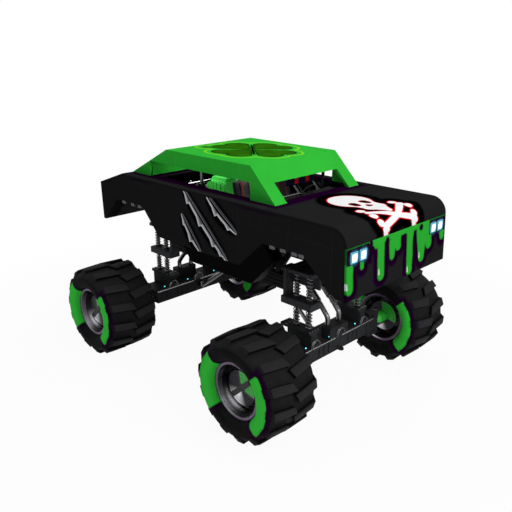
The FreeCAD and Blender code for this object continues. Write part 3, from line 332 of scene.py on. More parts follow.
def hood_marks(f, x, y, z, colour, roughness):
    """A skull over two crossed bones, white with a red edge, in a black cloud."""
    colour = f.mix(roof_halo(x, y), colour, PURPLE)
    # from here on x runs along the surface, over the hood's rolled front edge
    x = x.least(ROLL_START) + (x - ROLL_START).most(0.0).math("ARCTAN2", z - ROLL_Z) * ROLL_RADIUS
    side = abs(y - 0.01)
    skull = spot(x, side, (2.05, 0.0), 0.345)
    skull = skull.melt(stroke(x, side, (2.30, 0.0), (2.50, 0.10), 0.27, 0.115), 0.05)
    skull = skull.melt(stroke(x, side, (2.58, 0.0), (2.74, 0.0), 0.16, 0.060), 0.04)
    bones = of_all(Wire.least, (stroke(x, y, tip, BONE_CROSS, 0.056, 0.050) for tip in BONE_TIPS))
    for at in BONE_KNOBS:
        bones = bones.melt(spot(x, y, at, 0.068), 0.025)
    for at in BONE_FEET:
        bones = bones.least(tile(x, y, at, 0.07, 0.048))
    whole = skull.least(bones)
    holes = stroke(x, side, (2.205, 0.125), (2.275, 0.130), 0.062, 0.054)
    holes = holes.least(stroke(x, side, (2.375, 0.0), (2.420, 0.020), 0.018, 0.026))
    teeth = inside(abs(side - 0.045) - 0.005).most(inside(abs(side - 0.12) - 0.005))
    teeth = teeth * inside(abs(x - 2.58) - 0.045, 0.006)
    cloud = 1 - whole.fade(0.15, 0.21)
    colour = f.mix(cloud, colour, DEEP)
    colour = f.mix(ring_mask(whole, 0.0, 0.020), colour, RED)
    colour = f.mix(inside(skull), colour, PAINT_WHITE)
    colour = f.mix(inside(holes - 0.014) * (1 - inside(bones)), colour, RED)
    colour = f.mix(teeth * 0.6, colour, rgb(196, 60, 60))
    colour = f.mix(inside(holes), colour, rgb(20, 2, 3))
    colour = f.mix(ring_mask(bones, 0.0, 0.016) * inside(skull), colour, RED)
    colour = f.mix(inside(bones), colour, PAINT_WHITE)
    return colour, roughness


# the slime's drips; columns: top end (y, z), bottom end, half width at each
DRIPS = (((-1.225, 2.75), (-1.215, 2.455), 0.088, 0.083), ((-0.940, 2.80), (-0.940, 2.715), 0.046, 0.046),
         ((-0.630, 3.05), (-0.610, 2.95), 0.075, 0.060), ((-0.500, 3.00), (-0.485, 2.480), 0.090, 0.087),
         ((-0.215, 2.90), (-0.215, 2.700), 0.090, 0.066), ((-0.110, 2.93), (-0.070, 2.820), 0.125, 0.080),
         ((0.250, 3.00), (0.255, 2.365), 0.096, 0.080), ((0.570, 2.90), (0.585, 2.495), 0.150, 0.083),
         ((0.740, 2.85), (0.785, 2.665), 0.130, 0.088), ((1.175, 2.75), (1.180, 2.700), 0.075, 0.065))
# the same columns, for the dark slots that part the drips
SLOTS = (((-0.345, 2.965), (-0.335, 2.55), 0.040, 0.050), ((0.095, 2.895), (0.100, 2.40), 0.062, 0.070),
         ((0.380, 2.850), (0.385, 2.40), 0.050, 0.042), ((0.550, 2.965), (0.551, 2.965), 0.046, 0.046))
# painted highlights at the ends of the drips: place across the nose, height
DRIP_HIGHLIGHTS = ((-1.275, 2.50), (-0.535, 2.53), (0.205, 2.38), (0.520, 2.53))
LAMP_Y, LAMP_PAIR, LAMP_Z = 1.01, 0.10, 2.885


def slime_gap(y, z):
    """Distance to the slime on the nose: a pool along the top that runs down in drips."""
    gap = tile(y, z, (0.045, 3.12), 0.745, 0.17)
    for start, stop, wide, drop in DRIPS:
        gap = gap.melt(stroke(y, z, start, stop, wide, drop), 0.020)
    for start, stop, wide, drop in SLOTS:
        gap = gap.most(-stroke(y, z, start, stop, wide, drop))
    return gap


def nose_marks(f, x, y, z, colour, roughness):
    """Slime down the nose, its purple cloud, the lamps' fields with their green edges, and their glow."""
    ripple = f.noise(6.0, 2.0) - 0.5
    gap = slime_gap(y + ripple * 0.02, z)
    field = tile(abs(y), z, (1.03, 2.905), 0.245, 0.115)
    edge = ring_mask(field, 0.0, 0.018) * inside(3.0 - z).most(inside(1.26 - abs(y)) * inside(2.78 - z))
    bank = gap.least(field + 0.02)
    colour = f.mix(1 - bank.fade(0.07, 0.12), colour, PURPLE)
    depth = (0 - gap).fade(0.0, 0.022)
    wet = f.mix(depth, rgb(26, 120, 32), rgb(48, 180, 54))
    mask = inside(gap) * (1 - inside(field + 0.004))
    colour = f.mix(mask.most(edge), colour, wet)
    drip_highlight_strokes = [stroke(y, z, (at, low + 0.045), (at + 0.004, low - 0.025), 0.008, 0.017) for at, low in DRIP_HIGHLIGHTS]
    drip_highlight = of_all(Wire.most, (inside(drip_highlight_stroke, 0.014) for drip_highlight_stroke in drip_highlight_strokes))
    # painted highlights: pale strokes near the drips' ends
    colour = f.mix(drip_highlight, colour, rgb(224, 252, 226))
    # painted light: a bluish glow round each lamp, as if cast on the panel
    halo = 1 - spot(abs(abs(y) - LAMP_Y), z, (LAMP_PAIR, LAMP_Z), 0.080).fade(0.0, 0.075)
    colour = f.mix(halo * halo * 0.8, colour, rgb(44, 110, 134))
    return colour, roughness - mask * 0.10


def roof_marks(f, x, y, z, colour, roughness):
    """A four-leaved clover: one half leaf, folded over to all the others."""
    top = (z - 3.815).fade(0.0, 0.003)
    u, v = (x + 0.11) * 0.88, (y - 0.05) * 1.02
    au, av = abs(u), abs(v)
    axis, across = au.most(av), au.least(av)
    leaf = stroke(axis, across, (0.06, 0.0), (0.50, 0.165), 0.030, 0.215)
    stem = stroke(u, v, (-0.05, -0.04), (-0.36, -0.26), 0.020, 0.022).least(
        stroke(u, v, (-0.36, -0.26), (-0.70, -0.40), 0.030, 0.075))
    whole = leaf.least(stem)
    wobble = f.noise(4.0, 3.0)
    line = whole - (wobble - 0.5) * 0.05
    shade = f.mix(wobble.fade(0.35, 0.7), rgb(50, 120, 12), rgb(42, 100, 10))
    rim = leaf.fade(-0.045, -0.005) * (leaf - stem).fade(0.02, -0.02)
    dark = rim.most((0.16 - axis).fade(0.0, 0.14) * 0.7)
    shade = f.mix(dark * 0.75, shade, rgb(6, 20, 1))
    colour = f.mix(ring_mask(line, 0.080, 0.118, 0.02) * top, colour, rgb(140, 236, 28))
    slit = inside(abs(u * 0.72 + v * 0.70) - 0.020, 0.012) * inside(axis - 0.36, 0.05)
    colour = f.mix(inside(whole - (wobble - 0.4) * 0.03, 0.012).most(slit) * top, colour, rgb(4, 12, 1))
    colour = f.mix(inside(whole) * (1 - slit) * top, colour, shade)
    seams = inside(abs(abs(x + 0.12) - 0.80) - 0.003, 0.003)
    colour = f.mix(seams * (1 - top) * 0.6, colour, rgb(96, 226, 104))
    return colour, roughness


def metal(name, base, rough=0.35, metallic=0.9, brushed=(1.0, 1.0, 1.0), stain=0.3, under=0.85):
    """Metal with drawn lines, stains and fine pale flecks, under painted shade that clears on upward faces.
    """
    f = Finish(name)
    cloud = f.noise(6.0, 6.0)
    grain = f.noise(90.0, 3.0, stretch=brushed)
    fine = f.cells(260.0)
    colour = f.mix(cloud.fade(0.4, 0.75) * stain, base, deeper(base, 0.45))
    colour = f.mix(fine.fade(0.25, 0.0) * 0.06, colour, rgb(255, 255, 255))
    nx, ny, nz = f.facing()
    # painted shade: the colour darkens the more a face turns downward, as if in shade; under sets how dark
    painted_shade = 1 - (abs(nx) * 0.45 + abs(ny) * 0.45 + nz * 0.77).fade(0.25, 0.98)
    colour = f.mix((painted_shade * (2 - painted_shade)) * under, colour, deeper(base, 0.06))
    roughness = cloud * 0.18 + grain * 0.12 + (rough - 0.15)
    return f.shade(Base_Color=colour, Roughness=roughness, Metallic=metallic,
                   Normal=f.bump(grain, 0.0008, 0.3))


def coated(name, base, rough=0.5, sheen=0.35, grain=60.0, depth=0.0012, dust=0.25):
    """Powder coat or cast skin: grainy, dusty on what faces up, chipped here and there."""
    f = Finish(name)
    cloud = f.noise(4.0, 6.0)
    grit = f.noise(grain, 3.0)
    chips = f.cells(34.0)
    facing = f.facing()[2]
    lit = f.mix(facing.fade(0.2, 1.0) * cloud.fade(0.3, 0.7) * dust, base, rgb(120, 118, 114))
    lit = f.mix(chips.fade(0.075, 0.045) * 0.5, lit, rgb(150, 150, 152))
    roughness = cloud * 0.16 + (rough - 0.08)
    return f.shade(Base_Color=lit, Roughness=roughness, Specular_IOR_Level=sheen,
                   Normal=f.bump(grit, depth, 0.5))


def carbon(name):
    """Twill laminate: 24 mm tows that pass over and under in slanting bands, in clear resin."""
    f = Finish(name)
    x, y, z = f.xyz()
    a, b = (x + y) * 42.0, z * 42.0
    step = ((a + b) * 0.5).math("FRACT")
    over = inside(step - 0.5, 0.12)
    tow = abs(a.math("FRACT") - 0.5) * over + abs(b.math("FRACT") - 0.5) * (1 - over)
    colour = f.mix(over, rgb(1, 1, 1), rgb(10, 10, 11))
    colour = f.mix(f.noise(3.0, 4.0).fade(0.5, 0.8) * 0.10, colour, rgb(18, 18, 18))
    return f.shade(Base_Color=colour, Roughness=over * 0.12 + 0.44, Specular_IOR_Level=0.01,
                   Normal=f.bump(tow, 0.0009, 0.5))


def cloth(name, base, thread, scale=420.0):
    """Woven webbing or seat cloth with its threads, and worn lighter patches."""
    f = Finish(name)
    x, y, z = f.xyz()
    warp = (y * scale).math("SINE") * 0.5 + 0.5
    weft = ((x + z) * scale).math("SINE") * 0.5 + 0.5
    over = ((y * scale * 0.5).math("SINE") * ((x + z) * scale * 0.5).math("SINE")).fade(-0.2, 0.2)
    height = warp * over + weft * (1 - over)
    colour = f.mix(height, thread, base)
    colour = f.mix(f.noise(8.0, 5.0).fade(0.5, 0.8) * 0.25, colour, rgb(110, 106, 104))
    return f.shade(Base_Color=colour, Roughness=height * 0.1 + 0.72, Specular_IOR_Level=0.25,
                   Sheen_Weight=0.25, Normal=f.bump(height, 0.0012, 0.6))


def rubber(name):
    """Tyre rubber: moulding grain, scuffed lug tops, painted light by how faces turn up, painted shade on the
    lugs' flanks, and on the sidewall two green sectors in a purple cloud."""
    f = Finish(name)
    u, out, v = f.xyz(f.attribute("local"))
    radius = (u ** 2 + v ** 2) ** 0.5
    cloud = f.noise(5.0, 6.0)
    grit = f.noise(120.0, 3.0)
    tops = (radius - 0.790 + (abs(out) - 0.44).most(0.0) * 0.75).fade(0.0, 0.012)
    # painted light and shade by the way a face turns: the carcass gets lighter and the lug tops darker as
    # they face up
    painted_light_facing_up = f.facing()[2].fade(0.1, 0.95)
    colour = f.mix(tops, f.mix(painted_light_facing_up, rgb(31, 31, 32), rgb(36, 36, 37)),
                   f.mix(painted_light_facing_up, rgb(50, 50, 51), rgb(42, 42, 43)))
    # painted shade: a near black band on the lugs' flanks, between root and top, as if in the lugs' own
    # shadow
    painted_flank_shade = 1 - (abs(radius - 0.800 + abs(out) * 0.035) - 0.017).fade(0.0, 0.006)
    colour = f.mix(painted_flank_shade * (0.455 - abs(out)).fade(0.0, 0.01), colour, rgb(9, 9, 10))
    wall = (abs(out) - 0.47).fade(0.0, 0.04) * (0.70 - radius).fade(0.0, 0.03)
    colour = f.mix(wall, colour, rgb(19, 19, 20))
    colour = f.mix(cloud.fade(0.45, 0.75) * 0.20, colour, rgb(54, 53, 52))
    slant = abs(u) * 0.695 - abs(v) * 0.719
    ragged = (cloud - 0.5) * 0.012
    sector = (0 - slant).most(radius - 0.697 + ragged).most(0.40 - radius) + ragged
    outside = (abs(out) - 0.40).fade(0.0, 0.01)
    halo = (1 - sector.fade(0.03, 0.12)) * (abs(out) - 0.425).fade(0.0, 0.02)
    colour = f.mix(halo, colour, rgb(30, 0, 34))
    edge = sector.fade(-0.03, -0.005)
    paint = f.mix(edge * 0.4, rgb(66, 224, 72), rgb(34, 150, 44))
    colour = f.mix(inside(sector) * outside, colour, paint)
    rings = (radius * 260.0).math("SINE") * (abs(out) - 0.47).fade(0.0, 0.02) * 0.3
    normal = f.bump(grit * 0.5 + cloud * 0.8 + rings, 0.0022, 0.6)
    return f.shade(Base_Color=colour, Roughness=cloud * 0.16 + 0.62, Specular_IOR_Level=0.03,
                   Normal=normal)


def painted_wheel_highlight(u, v, radius):
    """How bright the painted highlight is round the wheel: full in one sector, low at rest, and none
    elsewhere.
    """
    low = ((u * -0.50 + v * -0.86) / radius).fade(0.55, 1.0)
    return low * low


def wheel_paint(name):
    """Turned wheel metal with lathe lines and a painted highlight, dark as painted shade in its barrel, with
    a grey band and a purple lip.
    """
    f = Finish(name)
    u, out, v = f.xyz(f.attribute("local"))
    radius = (u ** 2 + v ** 2) ** 0.5
    lathe = (radius * 1500.0 + out * 900.0).math("SINE")
    cloud = f.noise(9.0, 5.0)
    glow = painted_wheel_highlight(u, v, radius)
    band = (out - 0.335).fade(0.0, 0.008) * (radius - 0.36).fade(0.0, 0.01)
    # painted shade: a dark base for the metal stands in for the shade inside the barrel; only the outboard
    # band is lighter
    dark = f.mix(band, rgb(34, 33, 35), rgb(92, 84, 96))
    groove = ((radius * 3.0 + out).clamped() * 230.0).math("SINE").fade(0.5, 0.95)
    colour = f.mix(groove * (1 - band) * 0.5, dark, rgb(104, 102, 108))
    # painted highlight: a reflection painted into the colour, broken by the lathe's rings
    painted_highlight_part = glow * glow * (1 - band * 0.6) * ((radius * 260.0).math("SINE") * 0.35 + 0.65)
    colour = f.mix(painted_highlight_part * (cloud * 0.3 + 0.85), colour, rgb(244, 243, 248))
    lip = (radius - 0.428).fade(0.0, 0.006)
    colour = f.mix(lip, colour, rgb(104, 76, 112))
    return f.shade(Base_Color=colour, Roughness=cloud * 0.14 + 0.20, Metallic=1.0,
                   Normal=f.bump(lathe, 0.00025, 0.35))


def cap_paint(name):
    """Polished cap with a painted highlight low down, a green fan round the bar's upper half, two rings
    across it, and purple round it."""
    f = Finish(name)
    u, _, v = f.xyz(f.attribute("local"))
    radius = (u ** 2 + v ** 2) ** 0.5
    along = u * 0.731 + v * 0.682
    across = u * -0.682 + v * 0.731
    fan = abs(across) * 0.545 - along * 0.838
    field = fan.most(radius - 0.268).most(0.075 - radius)
    cloud = f.noise(12.0, 5.0)
    glow = painted_wheel_highlight(u, v, radius)
    # painted highlight: a bright reflection painted low on the dark cap
    colour = f.mix(glow * (cloud * 0.4 + 0.7), rgb(34, 33, 36), rgb(232, 231, 236))
    halo = 1 - field.fade(0.0, 0.045)
    colour = f.mix(halo, colour, rgb(34, 4, 38))
    ring = inside(abs(radius - 0.165) - 0.004).most(inside(abs(radius - 0.225) - 0.003))
    green = inside(field) * (1 - ring * 0.7)
    colour = f.mix(green, colour, GREEN)
    lathe = (radius * 1300.0).math("SINE")
    return f.shade(Base_Color=colour, Roughness=halo * 0.22 + cloud * 0.1 + 0.18,
                   Metallic=1 - halo, Normal=f.bump(lathe, 0.0002, 0.3))


def glowing(name, core, edge):
    """Lamp lens: bright in the middle, bluish towards the rim, with moulded flutes."""
    f = Finish(name)
    u, v, _ = f.xyz(f.attribute("local"))
    radius = (u ** 2 + v ** 2) ** 0.5
    colour = f.mix(radius.fade(0.032, 0.084), core, edge)
    flutes = (u * 420.0).math("SINE")
    return f.shade(Base_Color=colour, Emission_Color=colour, Emission_Strength=1.25,
                   Roughness=0.12 + radius * 0.5, Normal=f.bump(flutes, 0.0006, 0.4))


paint_side = painted("side_black", BLACK, side_marks)
paint_hood = painted("hood_black", BLACK, hood_marks)
paint_nose = painted("nose_black", BLACK, nose_marks)
paint_deck = painted("deck_black", BLACK, deck_marks)
paint_tail = painted("tail_black", BLACK)
paint_roof = painted("roof_green", GREEN, roof_marks, grime=0.06)
paint_inner = painted("roof_inner_green", GREEN, grime=0.06)
under_black = coated("underbody_black", rgb(12, 12, 13), rough=0.62, sheen=0.02, dust=0.03)
rocker_twill = carbon("rocker_laminate")
frame_coat = coated("frame_coat", rgb(38, 38, 40), rough=0.50, sheen=0.03, dust=0.05)
# painted light: the frame's coat, made lighter on the towers to lift the shade the body throws on them
tower_coat = coated("tower_coat", rgb(78, 78, 80), rough=0.50, sheen=0.03, dust=0.05)
clip_grey = coated("clip_grey", rgb(118, 118, 120), rough=0.45, sheen=0.05, dust=0.04)
axle_coat = coated("axle_enamel", rgb(52, 52, 54), rough=0.50, sheen=0.03, grain=38.0, depth=0.002, dust=0.06)
bright = metal("polished_tube", rgb(150, 150, 153), rough=0.26, metallic=1.0, brushed=(1.0, 1.0, 8.0),
               stain=0.2)
bolt_steel = metal("zinc_bolts", rgb(150, 150, 155), rough=0.38, metallic=1.0, stain=0.4, under=0.5)
stud_steel = metal("stud_steel", rgb(220, 220, 224), rough=0.35, metallic=1.0, stain=0.2, under=0.2)
dark_bolts = metal("blackened_bolts", rgb(74, 74, 78), rough=0.45, metallic=1.0, stain=0.3)
spring_steel = metal("spring_steel", rgb(150, 150, 154), rough=0.34, metallic=1.0, stain=0.35, under=0.6)
damper_black = coated("damper_black", rgb(30, 30, 32), rough=0.35, sheen=0.5, dust=0.05)
tyre_rubber = rubber("tyre_rubber")
rim_metal = wheel_paint("turned_wheel")
cap_metal = cap_paint("wheel_cap")
bar_black = coated("bar_black", rgb(10, 10, 11), rough=0.4, sheen=0.35, dust=0.05)
lamp_lens = glowing("lamp_lens", (1.0, 1.0, 1.0, 1.0), rgb(96, 168, 192))
# painted light: the bezels glow as if lit by their lamps, though they give no light
lamp_rim = glowing("lamp_rim", rgb(60, 120, 142), rgb(36, 84, 104))
blower_green = coated("blower_enamel", rgb(84, 236, 92), rough=0.38, sheen=0.5, grain=90.0, dust=0.1)
block_black = coated("block_black", rgb(16, 14, 18), rough=0.55, sheen=0.03, grain=50.0, depth=0.003,
                     dust=0.03)
pipe_chrome = metal("pipe_chrome", rgb(226, 226, 230), rough=0.18, metallic=1.0, stain=0.3)
seat_cloth = cloth("seat_cover", rgb(20, 20, 22), rgb(8, 8, 9))
strap_red = cloth("strap_webbing", rgb(120, 10, 16), rgb(70, 4, 8), 900.0)
panel_navy = coated("panel_navy", rgb(16, 20, 46), rough=0.5, sheen=0.03, dust=0.02)
wheel_grip = coated("grip_black", rgb(16, 16, 17), rough=0.6, grain=260.0, depth=0.0015, dust=0.0)


# ------------------------------------------------------------------ mesh work
BODY_OF = {node: body for body, nodes in frame["record"]["behaviour"]["bodies"].items() for node in nodes}
SLOT_OF = {p["node"]: p["material_slot"] for p in frame["record"]["subparts"]}


UPRIGHT = Matrix.Rotation(math.radians(90), 4, "X")


def shown(name, data):
    """A new object in the scene, at the origin."""
    made = bpy.data.objects.new(name, data)
    bpy.context.scene.collection.objects.link(made)
    return made


def evaluated(carrier):
    """The mesh that an object's modifiers make; they are then taken off."""
    held = bpy.context.evaluated_depsgraph_get()
    mesh = bpy.data.meshes.new_from_object(carrier.evaluated_get(held), depsgraph=held)
    carrier.modifiers.clear()
    return mesh


def baked(form, name):
    """The mesh of an edited form."""
    mesh = bpy.data.meshes.new(name)
    form.to_mesh(mesh)
    form.free()
    return mesh


def place(name, mesh, material, slot, stands_for=(), body="chassis", sharp=32.0, weighted=False):
    """Puts a finished mesh on its body, with its finish; its slot is not used."""
    made = shown(name, mesh)
    mesh.materials.clear()
    mesh.materials.append(material)
    mesh.shade_smooth()
    mesh.set_sharp_from_angle(angle=math.radians(sharp))
    if weighted:
        weigh = made.modifiers.new("even_light", "WEIGHTED_NORMAL")
        weigh.keep_sharp = True
    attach(made, body)
    if stands_for:
        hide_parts(*stands_for)
    return made


def mesh_of(name, corners, faces):
    """A closed form from its corners and faces, with its faces turned outwards."""
    mesh = bpy.data.meshes.new(name)
    mesh.from_pydata([tuple(c) for c in corners], [], faces)
    return outward(mesh)


def outward(mesh):
    """Turns every face of closed forms outwards."""
    form = bmesh.new()
    form.from_mesh(mesh)
    bmesh.ops.remove_doubles(form, verts=form.verts, dist=1e-5)
    bmesh.ops.recalc_face_normals(form, faces=form.faces)
    form.to_mesh(mesh)
    form.free()
    return mesh


def joined(name, *meshes):
    """One mesh out of several."""
    form = bmesh.new()
    for mesh in meshes:
        form.from_mesh(mesh)
    return baked(form, name)


def eased(node, material, width, rounds=2):
    """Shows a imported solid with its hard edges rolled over."""
    form = bmesh.new()
    form.from_mesh(frame["nodes"][node].data)
    bmesh.ops.remove_doubles(form, verts=form.verts, dist=3e-5)
    bmesh.ops.dissolve_limit(form, angle_limit=math.radians(0.6), verts=form.verts, edges=form.edges)
    hard = [e for e in form.edges if len(e.link_faces) == 2 and e.calc_face_angle(0.0) > math.radians(30.0)]
    bmesh.ops.bevel(form, geom=hard, offset=width, segments=rounds, profile=0.5, affect="EDGES",
                    clamp_overlap=True)
    bmesh.ops.triangulate(form, faces=[f for f in form.faces if len(f.verts) > 4])
    place(node + "_skin", baked(form, node + "_eased"), material, SLOT_OF[node], (node,), BODY_OF[node],
          weighted=True)


def revolve(name, profile, segments, looped=False):
    """Mesh turned about the Y axis from (radius, along) points; looped joins its two ends."""
    corners, rings, faces = [], [], []
    for radius, along in profile:
        if radius == 0:
            rings.append([len(corners)] * segments)
            corners.append((0, along, 0))
            continue
        rings.append(list(range(len(corners), len(corners) + segments)))
        for k in range(segments):
            turn = 2 * math.pi * k / segments
            corners.append((radius * math.cos(turn), along, radius * math.sin(turn)))
    pairs = list(zip(rings, rings[1:]))
    if looped:
        pairs.append((rings[-1], rings[0]))
    for low, high in pairs:
        for k in range(segments):
            n = (k + 1) % segments
            face = []
            for corner in (low[k], low[n], high[n], high[k]):
                if corner not in face:
                    face.append(corner)
            if len(face) > 2:
                faces.append(face)
    return mesh_of(name, corners, faces)


def moved(mesh, centre, side=1.0, turn=None):
    """Takes a mesh from its own axes to the truck's: mirrored outboard, turned, then placed."""
    matrix = Matrix.Translation(Vector(centre))
    if turn is not None:
        matrix = matrix @ turn
    if side < 0:
        matrix = matrix @ Matrix.Diagonal((1, -1, 1, 1))
    mesh.transform(matrix)
    if side < 0:
        mesh.flip_normals()
    return mesh


def note_local(mesh, centre, side):
    """Stores each point's place about the wheel's middle: forward, outboard, up."""
    where = mesh.attributes.new("local", "FLOAT_VECTOR", "POINT")
    values = []
    for vertex in mesh.vertices:
        off = vertex.co - Vector(centre)
        values += [off.x, off.y * side, off.z]
    where.data.foreach_set("vector", values)
    return mesh


def round_route(points, bend, steps=8):
    """The points of a bent tube's middle line, with its corners on arcs."""
    points = [Vector(p) for p in points]
    line = [points[0]]
    for before, corner, after in zip(points, points[1:], points[2:]):
        one, two = (before - corner).normalized(), (after - corner).normalized()
        half = one.angle(two) / 2
        cut = min(bend / math.tan(half), (before - corner).length * 0.48, (after - corner).length * 0.48)
        start, stop = corner + one * cut, corner + two * cut
        for k in range(steps + 1):
            t = k / steps
            line.append(start * (1 - t) ** 2 + corner * 2 * t * (1 - t) + stop * t ** 2)
    line.append(points[-1])
    return line


def tube(name, line, radius, sides=20, hem=0.004):
    """A round tube along a line, with a small chamfer at each open end."""
    corners, faces, rings = [], [], []
    line = [Vector(point) for point in line]
    up = Vector((0.13, 0.91, 0.37)).normalized()
    count = len(line)
    for k, point in enumerate(line):
        ahead = (line[min(k + 1, count - 1)] - line[max(k - 1, 0)]).normalized()
        side = (up - ahead * up.dot(ahead)).normalized()
        up = side
        other = ahead.cross(side)
        sets = [(point, radius)]
        if k == 0:
            sets = [(point, radius - hem), (point + ahead * hem, radius)]
        if k == count - 1:
            sets = [(point - ahead * hem, radius), (point, radius - hem)]
        for middle, reach in sets:
            rings.append(list(range(len(corners), len(corners) + sides)))
            for n in range(sides):
                turn = 2 * math.pi * n / sides
                corners.append(middle + side * (reach * math.cos(turn)) + other * (reach * math.sin(turn)))
    for low, high in zip(rings, rings[1:]):
        for n in range(sides):
            m = (n + 1) % sides
            faces.append([low[n], low[m], high[m], high[n]])
    faces += [rings[0][::-1], rings[-1]]
    return mesh_of(name, corners, faces)


def block(name, low, high, ease=0.003, rounds=2):
    """A small eased block between two corners."""
    form = bmesh.new()
    middle = [(a + b) / 2 for a, b in zip(low, high)]
    bmesh.ops.create_cube(form, size=1.0)
    bmesh.ops.scale(form, verts=form.verts, vec=[b - a for a, b in zip(low, high)])
    bmesh.ops.translate(form, verts=form.verts, vec=middle)
    bmesh.ops.bevel(form, geom=form.edges[:], offset=ease, segments=rounds, profile=0.5, affect="EDGES",
                    clamp_overlap=True)
    return baked(form, name)


# ------------------------------------------------------------------ rules for what repeats
class Grower(Tree):
    """A Geometry Nodes tree with named inputs for its sizes."""

    def __init__(self, name, **sizes):
        group = bpy.data.node_groups.new(name, "GeometryNodeTree")
        group.interface.new_socket("Geometry", in_out="INPUT", socket_type="NodeSocketGeometry")
        for key, value in sizes.items():
            kind = {int: "NodeSocketInt", float: "NodeSocketFloat", tuple: "NodeSocketVector"}[type(value)]
            group.interface.new_socket(key, in_out="INPUT", socket_type=kind).default_value = value
        group.interface.new_socket("Geometry", in_out="OUTPUT", socket_type="NodeSocketGeometry")
        super().__init__(group)
        start = group.nodes.new("NodeGroupInput")
        self.given = {socket.name: Wire(self, socket) for socket in start.outputs if socket.name}

    def close(self, geometry):
        """Ends the tree with real meshes and one material."""
        real = self.node("GeometryNodeRealizeInstances", {}, {0: geometry})
        done = self.node("GeometryNodeSetMaterial", {}, {"Geometry": real})
        self.finish_node = done.socket.node
        end = self.tree.nodes.new("NodeGroupOutput")
        self.tree.links.new(done.socket, end.inputs[0])
        return self

    def grow(self, name, seed, material, **sizes):
        """The tree's result on a seed mesh, as a plain mesh."""
        self.finish_node.inputs["Material"].default_value = material
        carrier = shown(name, seed)
        rule = carrier.modifiers.new("rule", "NODES")
        rule.node_group = self.tree
        for item in self.tree.interface.items_tree:
            if item.name in sizes:
                rule[item.identifier] = sizes[item.name]
        mesh = evaluated(carrier)
        bpy.data.objects.remove(carrier)
        mesh.name = name
        return mesh


def spun_tree():
    """Copies of the seed, evenly spaced about the wheel's axle line."""
    tree = Grower("spun", Count=14, Step=0.4488, Start=0.0, Centre=(0.0, 0.0, 0.0))
    given = tree.given
    points = tree.node("GeometryNodePoints", {}, {"Count": given["Count"], "Position": given["Centre"]})
    index = tree.node("GeometryNodeInputIndex")
    turn = tree.node("ShaderNodeCombineXYZ", {}, {"Y": index * given["Step"] + given["Start"]})
    copies = tree.node("GeometryNodeInstanceOnPoints", {},
                       {"Points": points, "Instance": given["Geometry"], "Rotation": turn})
    return tree.close(copies)


def fastener_tree():
    """Hexagon heads on washers, evenly along every edge of the seed, facing as its points say."""
    tree = Grower("fasteners", Spacing=0.1, Head=0.012, Height=0.010, Corners=6)
    given = tree.given
    lines = tree.node("GeometryNodeMeshToCurve", {}, {"Mesh": given["Geometry"]})
    even = tree.node("GeometryNodeResampleCurve", {"mode": "LENGTH"},
                     {"Curve": lines, "Length": given["Spacing"]})
    head = tree.node("GeometryNodeMeshCylinder", {},
                     {"Vertices": given["Corners"], "Radius": given["Head"], "Depth": given["Height"]})
    raised = tree.node("ShaderNodeCombineXYZ", {}, {"Z": given["Height"] * 0.7})
    head = tree.node("GeometryNodeTransform", {}, {"Geometry": head, "Translation": raised})
    washer = tree.node("GeometryNodeMeshCylinder", {},
                       {"Vertices": 12, "Radius": given["Head"] * 1.5, "Depth": given["Height"] * 0.5})
    both = tree.node("GeometryNodeJoinGeometry", {}, {0: [head, washer]})
    facing = tree.node("GeometryNodeInputNamedAttribute", {"data_type": "FLOAT_VECTOR"}, {"Name": "facing"})
    aligned = tree.node("FunctionNodeAlignRotationToVector", {"axis": "Z"}, {"Vector": facing})
    copies = tree.node("GeometryNodeInstanceOnPoints", {},
                       {"Points": even, "Instance": both, "Rotation": aligned})
    return tree.close(copies)


def coil_tree():
    """A wire coil standing on every point of the seed."""
    tree = Grower("coil", Turns=7.0, Radius=0.049, Wire=0.009, Height=0.3)
    given = tree.given
    spiral = tree.node("GeometryNodeCurveSpiral", {},
                       {"Resolution": 26, "Rotations": given["Turns"], "Start Radius": given["Radius"],
                        "End Radius": given["Radius"], "Height": given["Height"]})
    section = tree.node("GeometryNodeCurvePrimitiveCircle", {}, {"Resolution": 8, "Radius": given["Wire"]})
    wire = tree.node("GeometryNodeCurveToMesh", {},
                     {"Curve": spiral, "Profile Curve": section, "Fill Caps": True})
    copies = tree.node("GeometryNodeInstanceOnPoints", {}, {"Points": given["Geometry"], "Instance": wire})
    return tree.close(copies)


spun, fasteners, coil = spun_tree(), fastener_tree(), coil_tree()


def lines_seed(rows):
    """Edges for the fasteners: each row is start, end and the way its heads face."""
    mesh = bpy.data.meshes.new("rows")
    corners, edges = [], []
    for start, end, _ in rows:
        edges.append((len(corners), len(corners) + 1))
        corners += [start, end]
    mesh.from_pydata(corners, edges, [])
    facing = mesh.attributes.new("facing", "FLOAT_VECTOR", "POINT")
    facing.data.foreach_set("vector", [v for _, _, way in rows for _ in (0, 1) for v in way])
    return mesh


def bolt_rows(name, rows, spacing, head, material, height=None, corners=6):
    """Puts rows of bolts on the chassis."""
    mesh = fasteners.grow(name, lines_seed(rows), material, Spacing=spacing, Head=head,
                          Height=height or head * 0.8, Corners=corners)
    place(name, mesh, material, "bright_steel")


# ------------------------------------------------------------------ wheels
LUGS = 14
LUG_PITCH = 360.0 / LUGS
LUG_MIDDLE = 3.7 - 90.0
LUG_SWEEP = 5.2
# columns: outboard, share of the sweep, root radius, tip radius
LUG_LINE = ((0.000, 0.00, 0.772, 0.838), (0.150, 0.31, 0.765, 0.8345), (0.300, 0.61, 0.756, 0.830),
            (0.425, 0.87, 0.744, 0.8235), (0.437, 0.89, 0.742, 0.818), (0.462, 0.95, 0.732, 0.775),
            (0.500, 1.04, 0.705, 0.722), (0.516, 1.08, 0.680, 0.694))
# columns: half angle from the lug's middle, depth below the tip as a share of its height
LUG_SECTION = ((-5.5, 1.12), (-5.1, 0.62), (-4.75, 0.14), (-4.6, 0.04), (-4.3, 0.0),
               (4.3, 0.0), (4.6, 0.04), (4.75, 0.14), (5.1, 0.62), (5.5, 1.12))
# slope of the lugs' inner ends, metres across the tread for each degree of turn
LUG_END = 0.0075
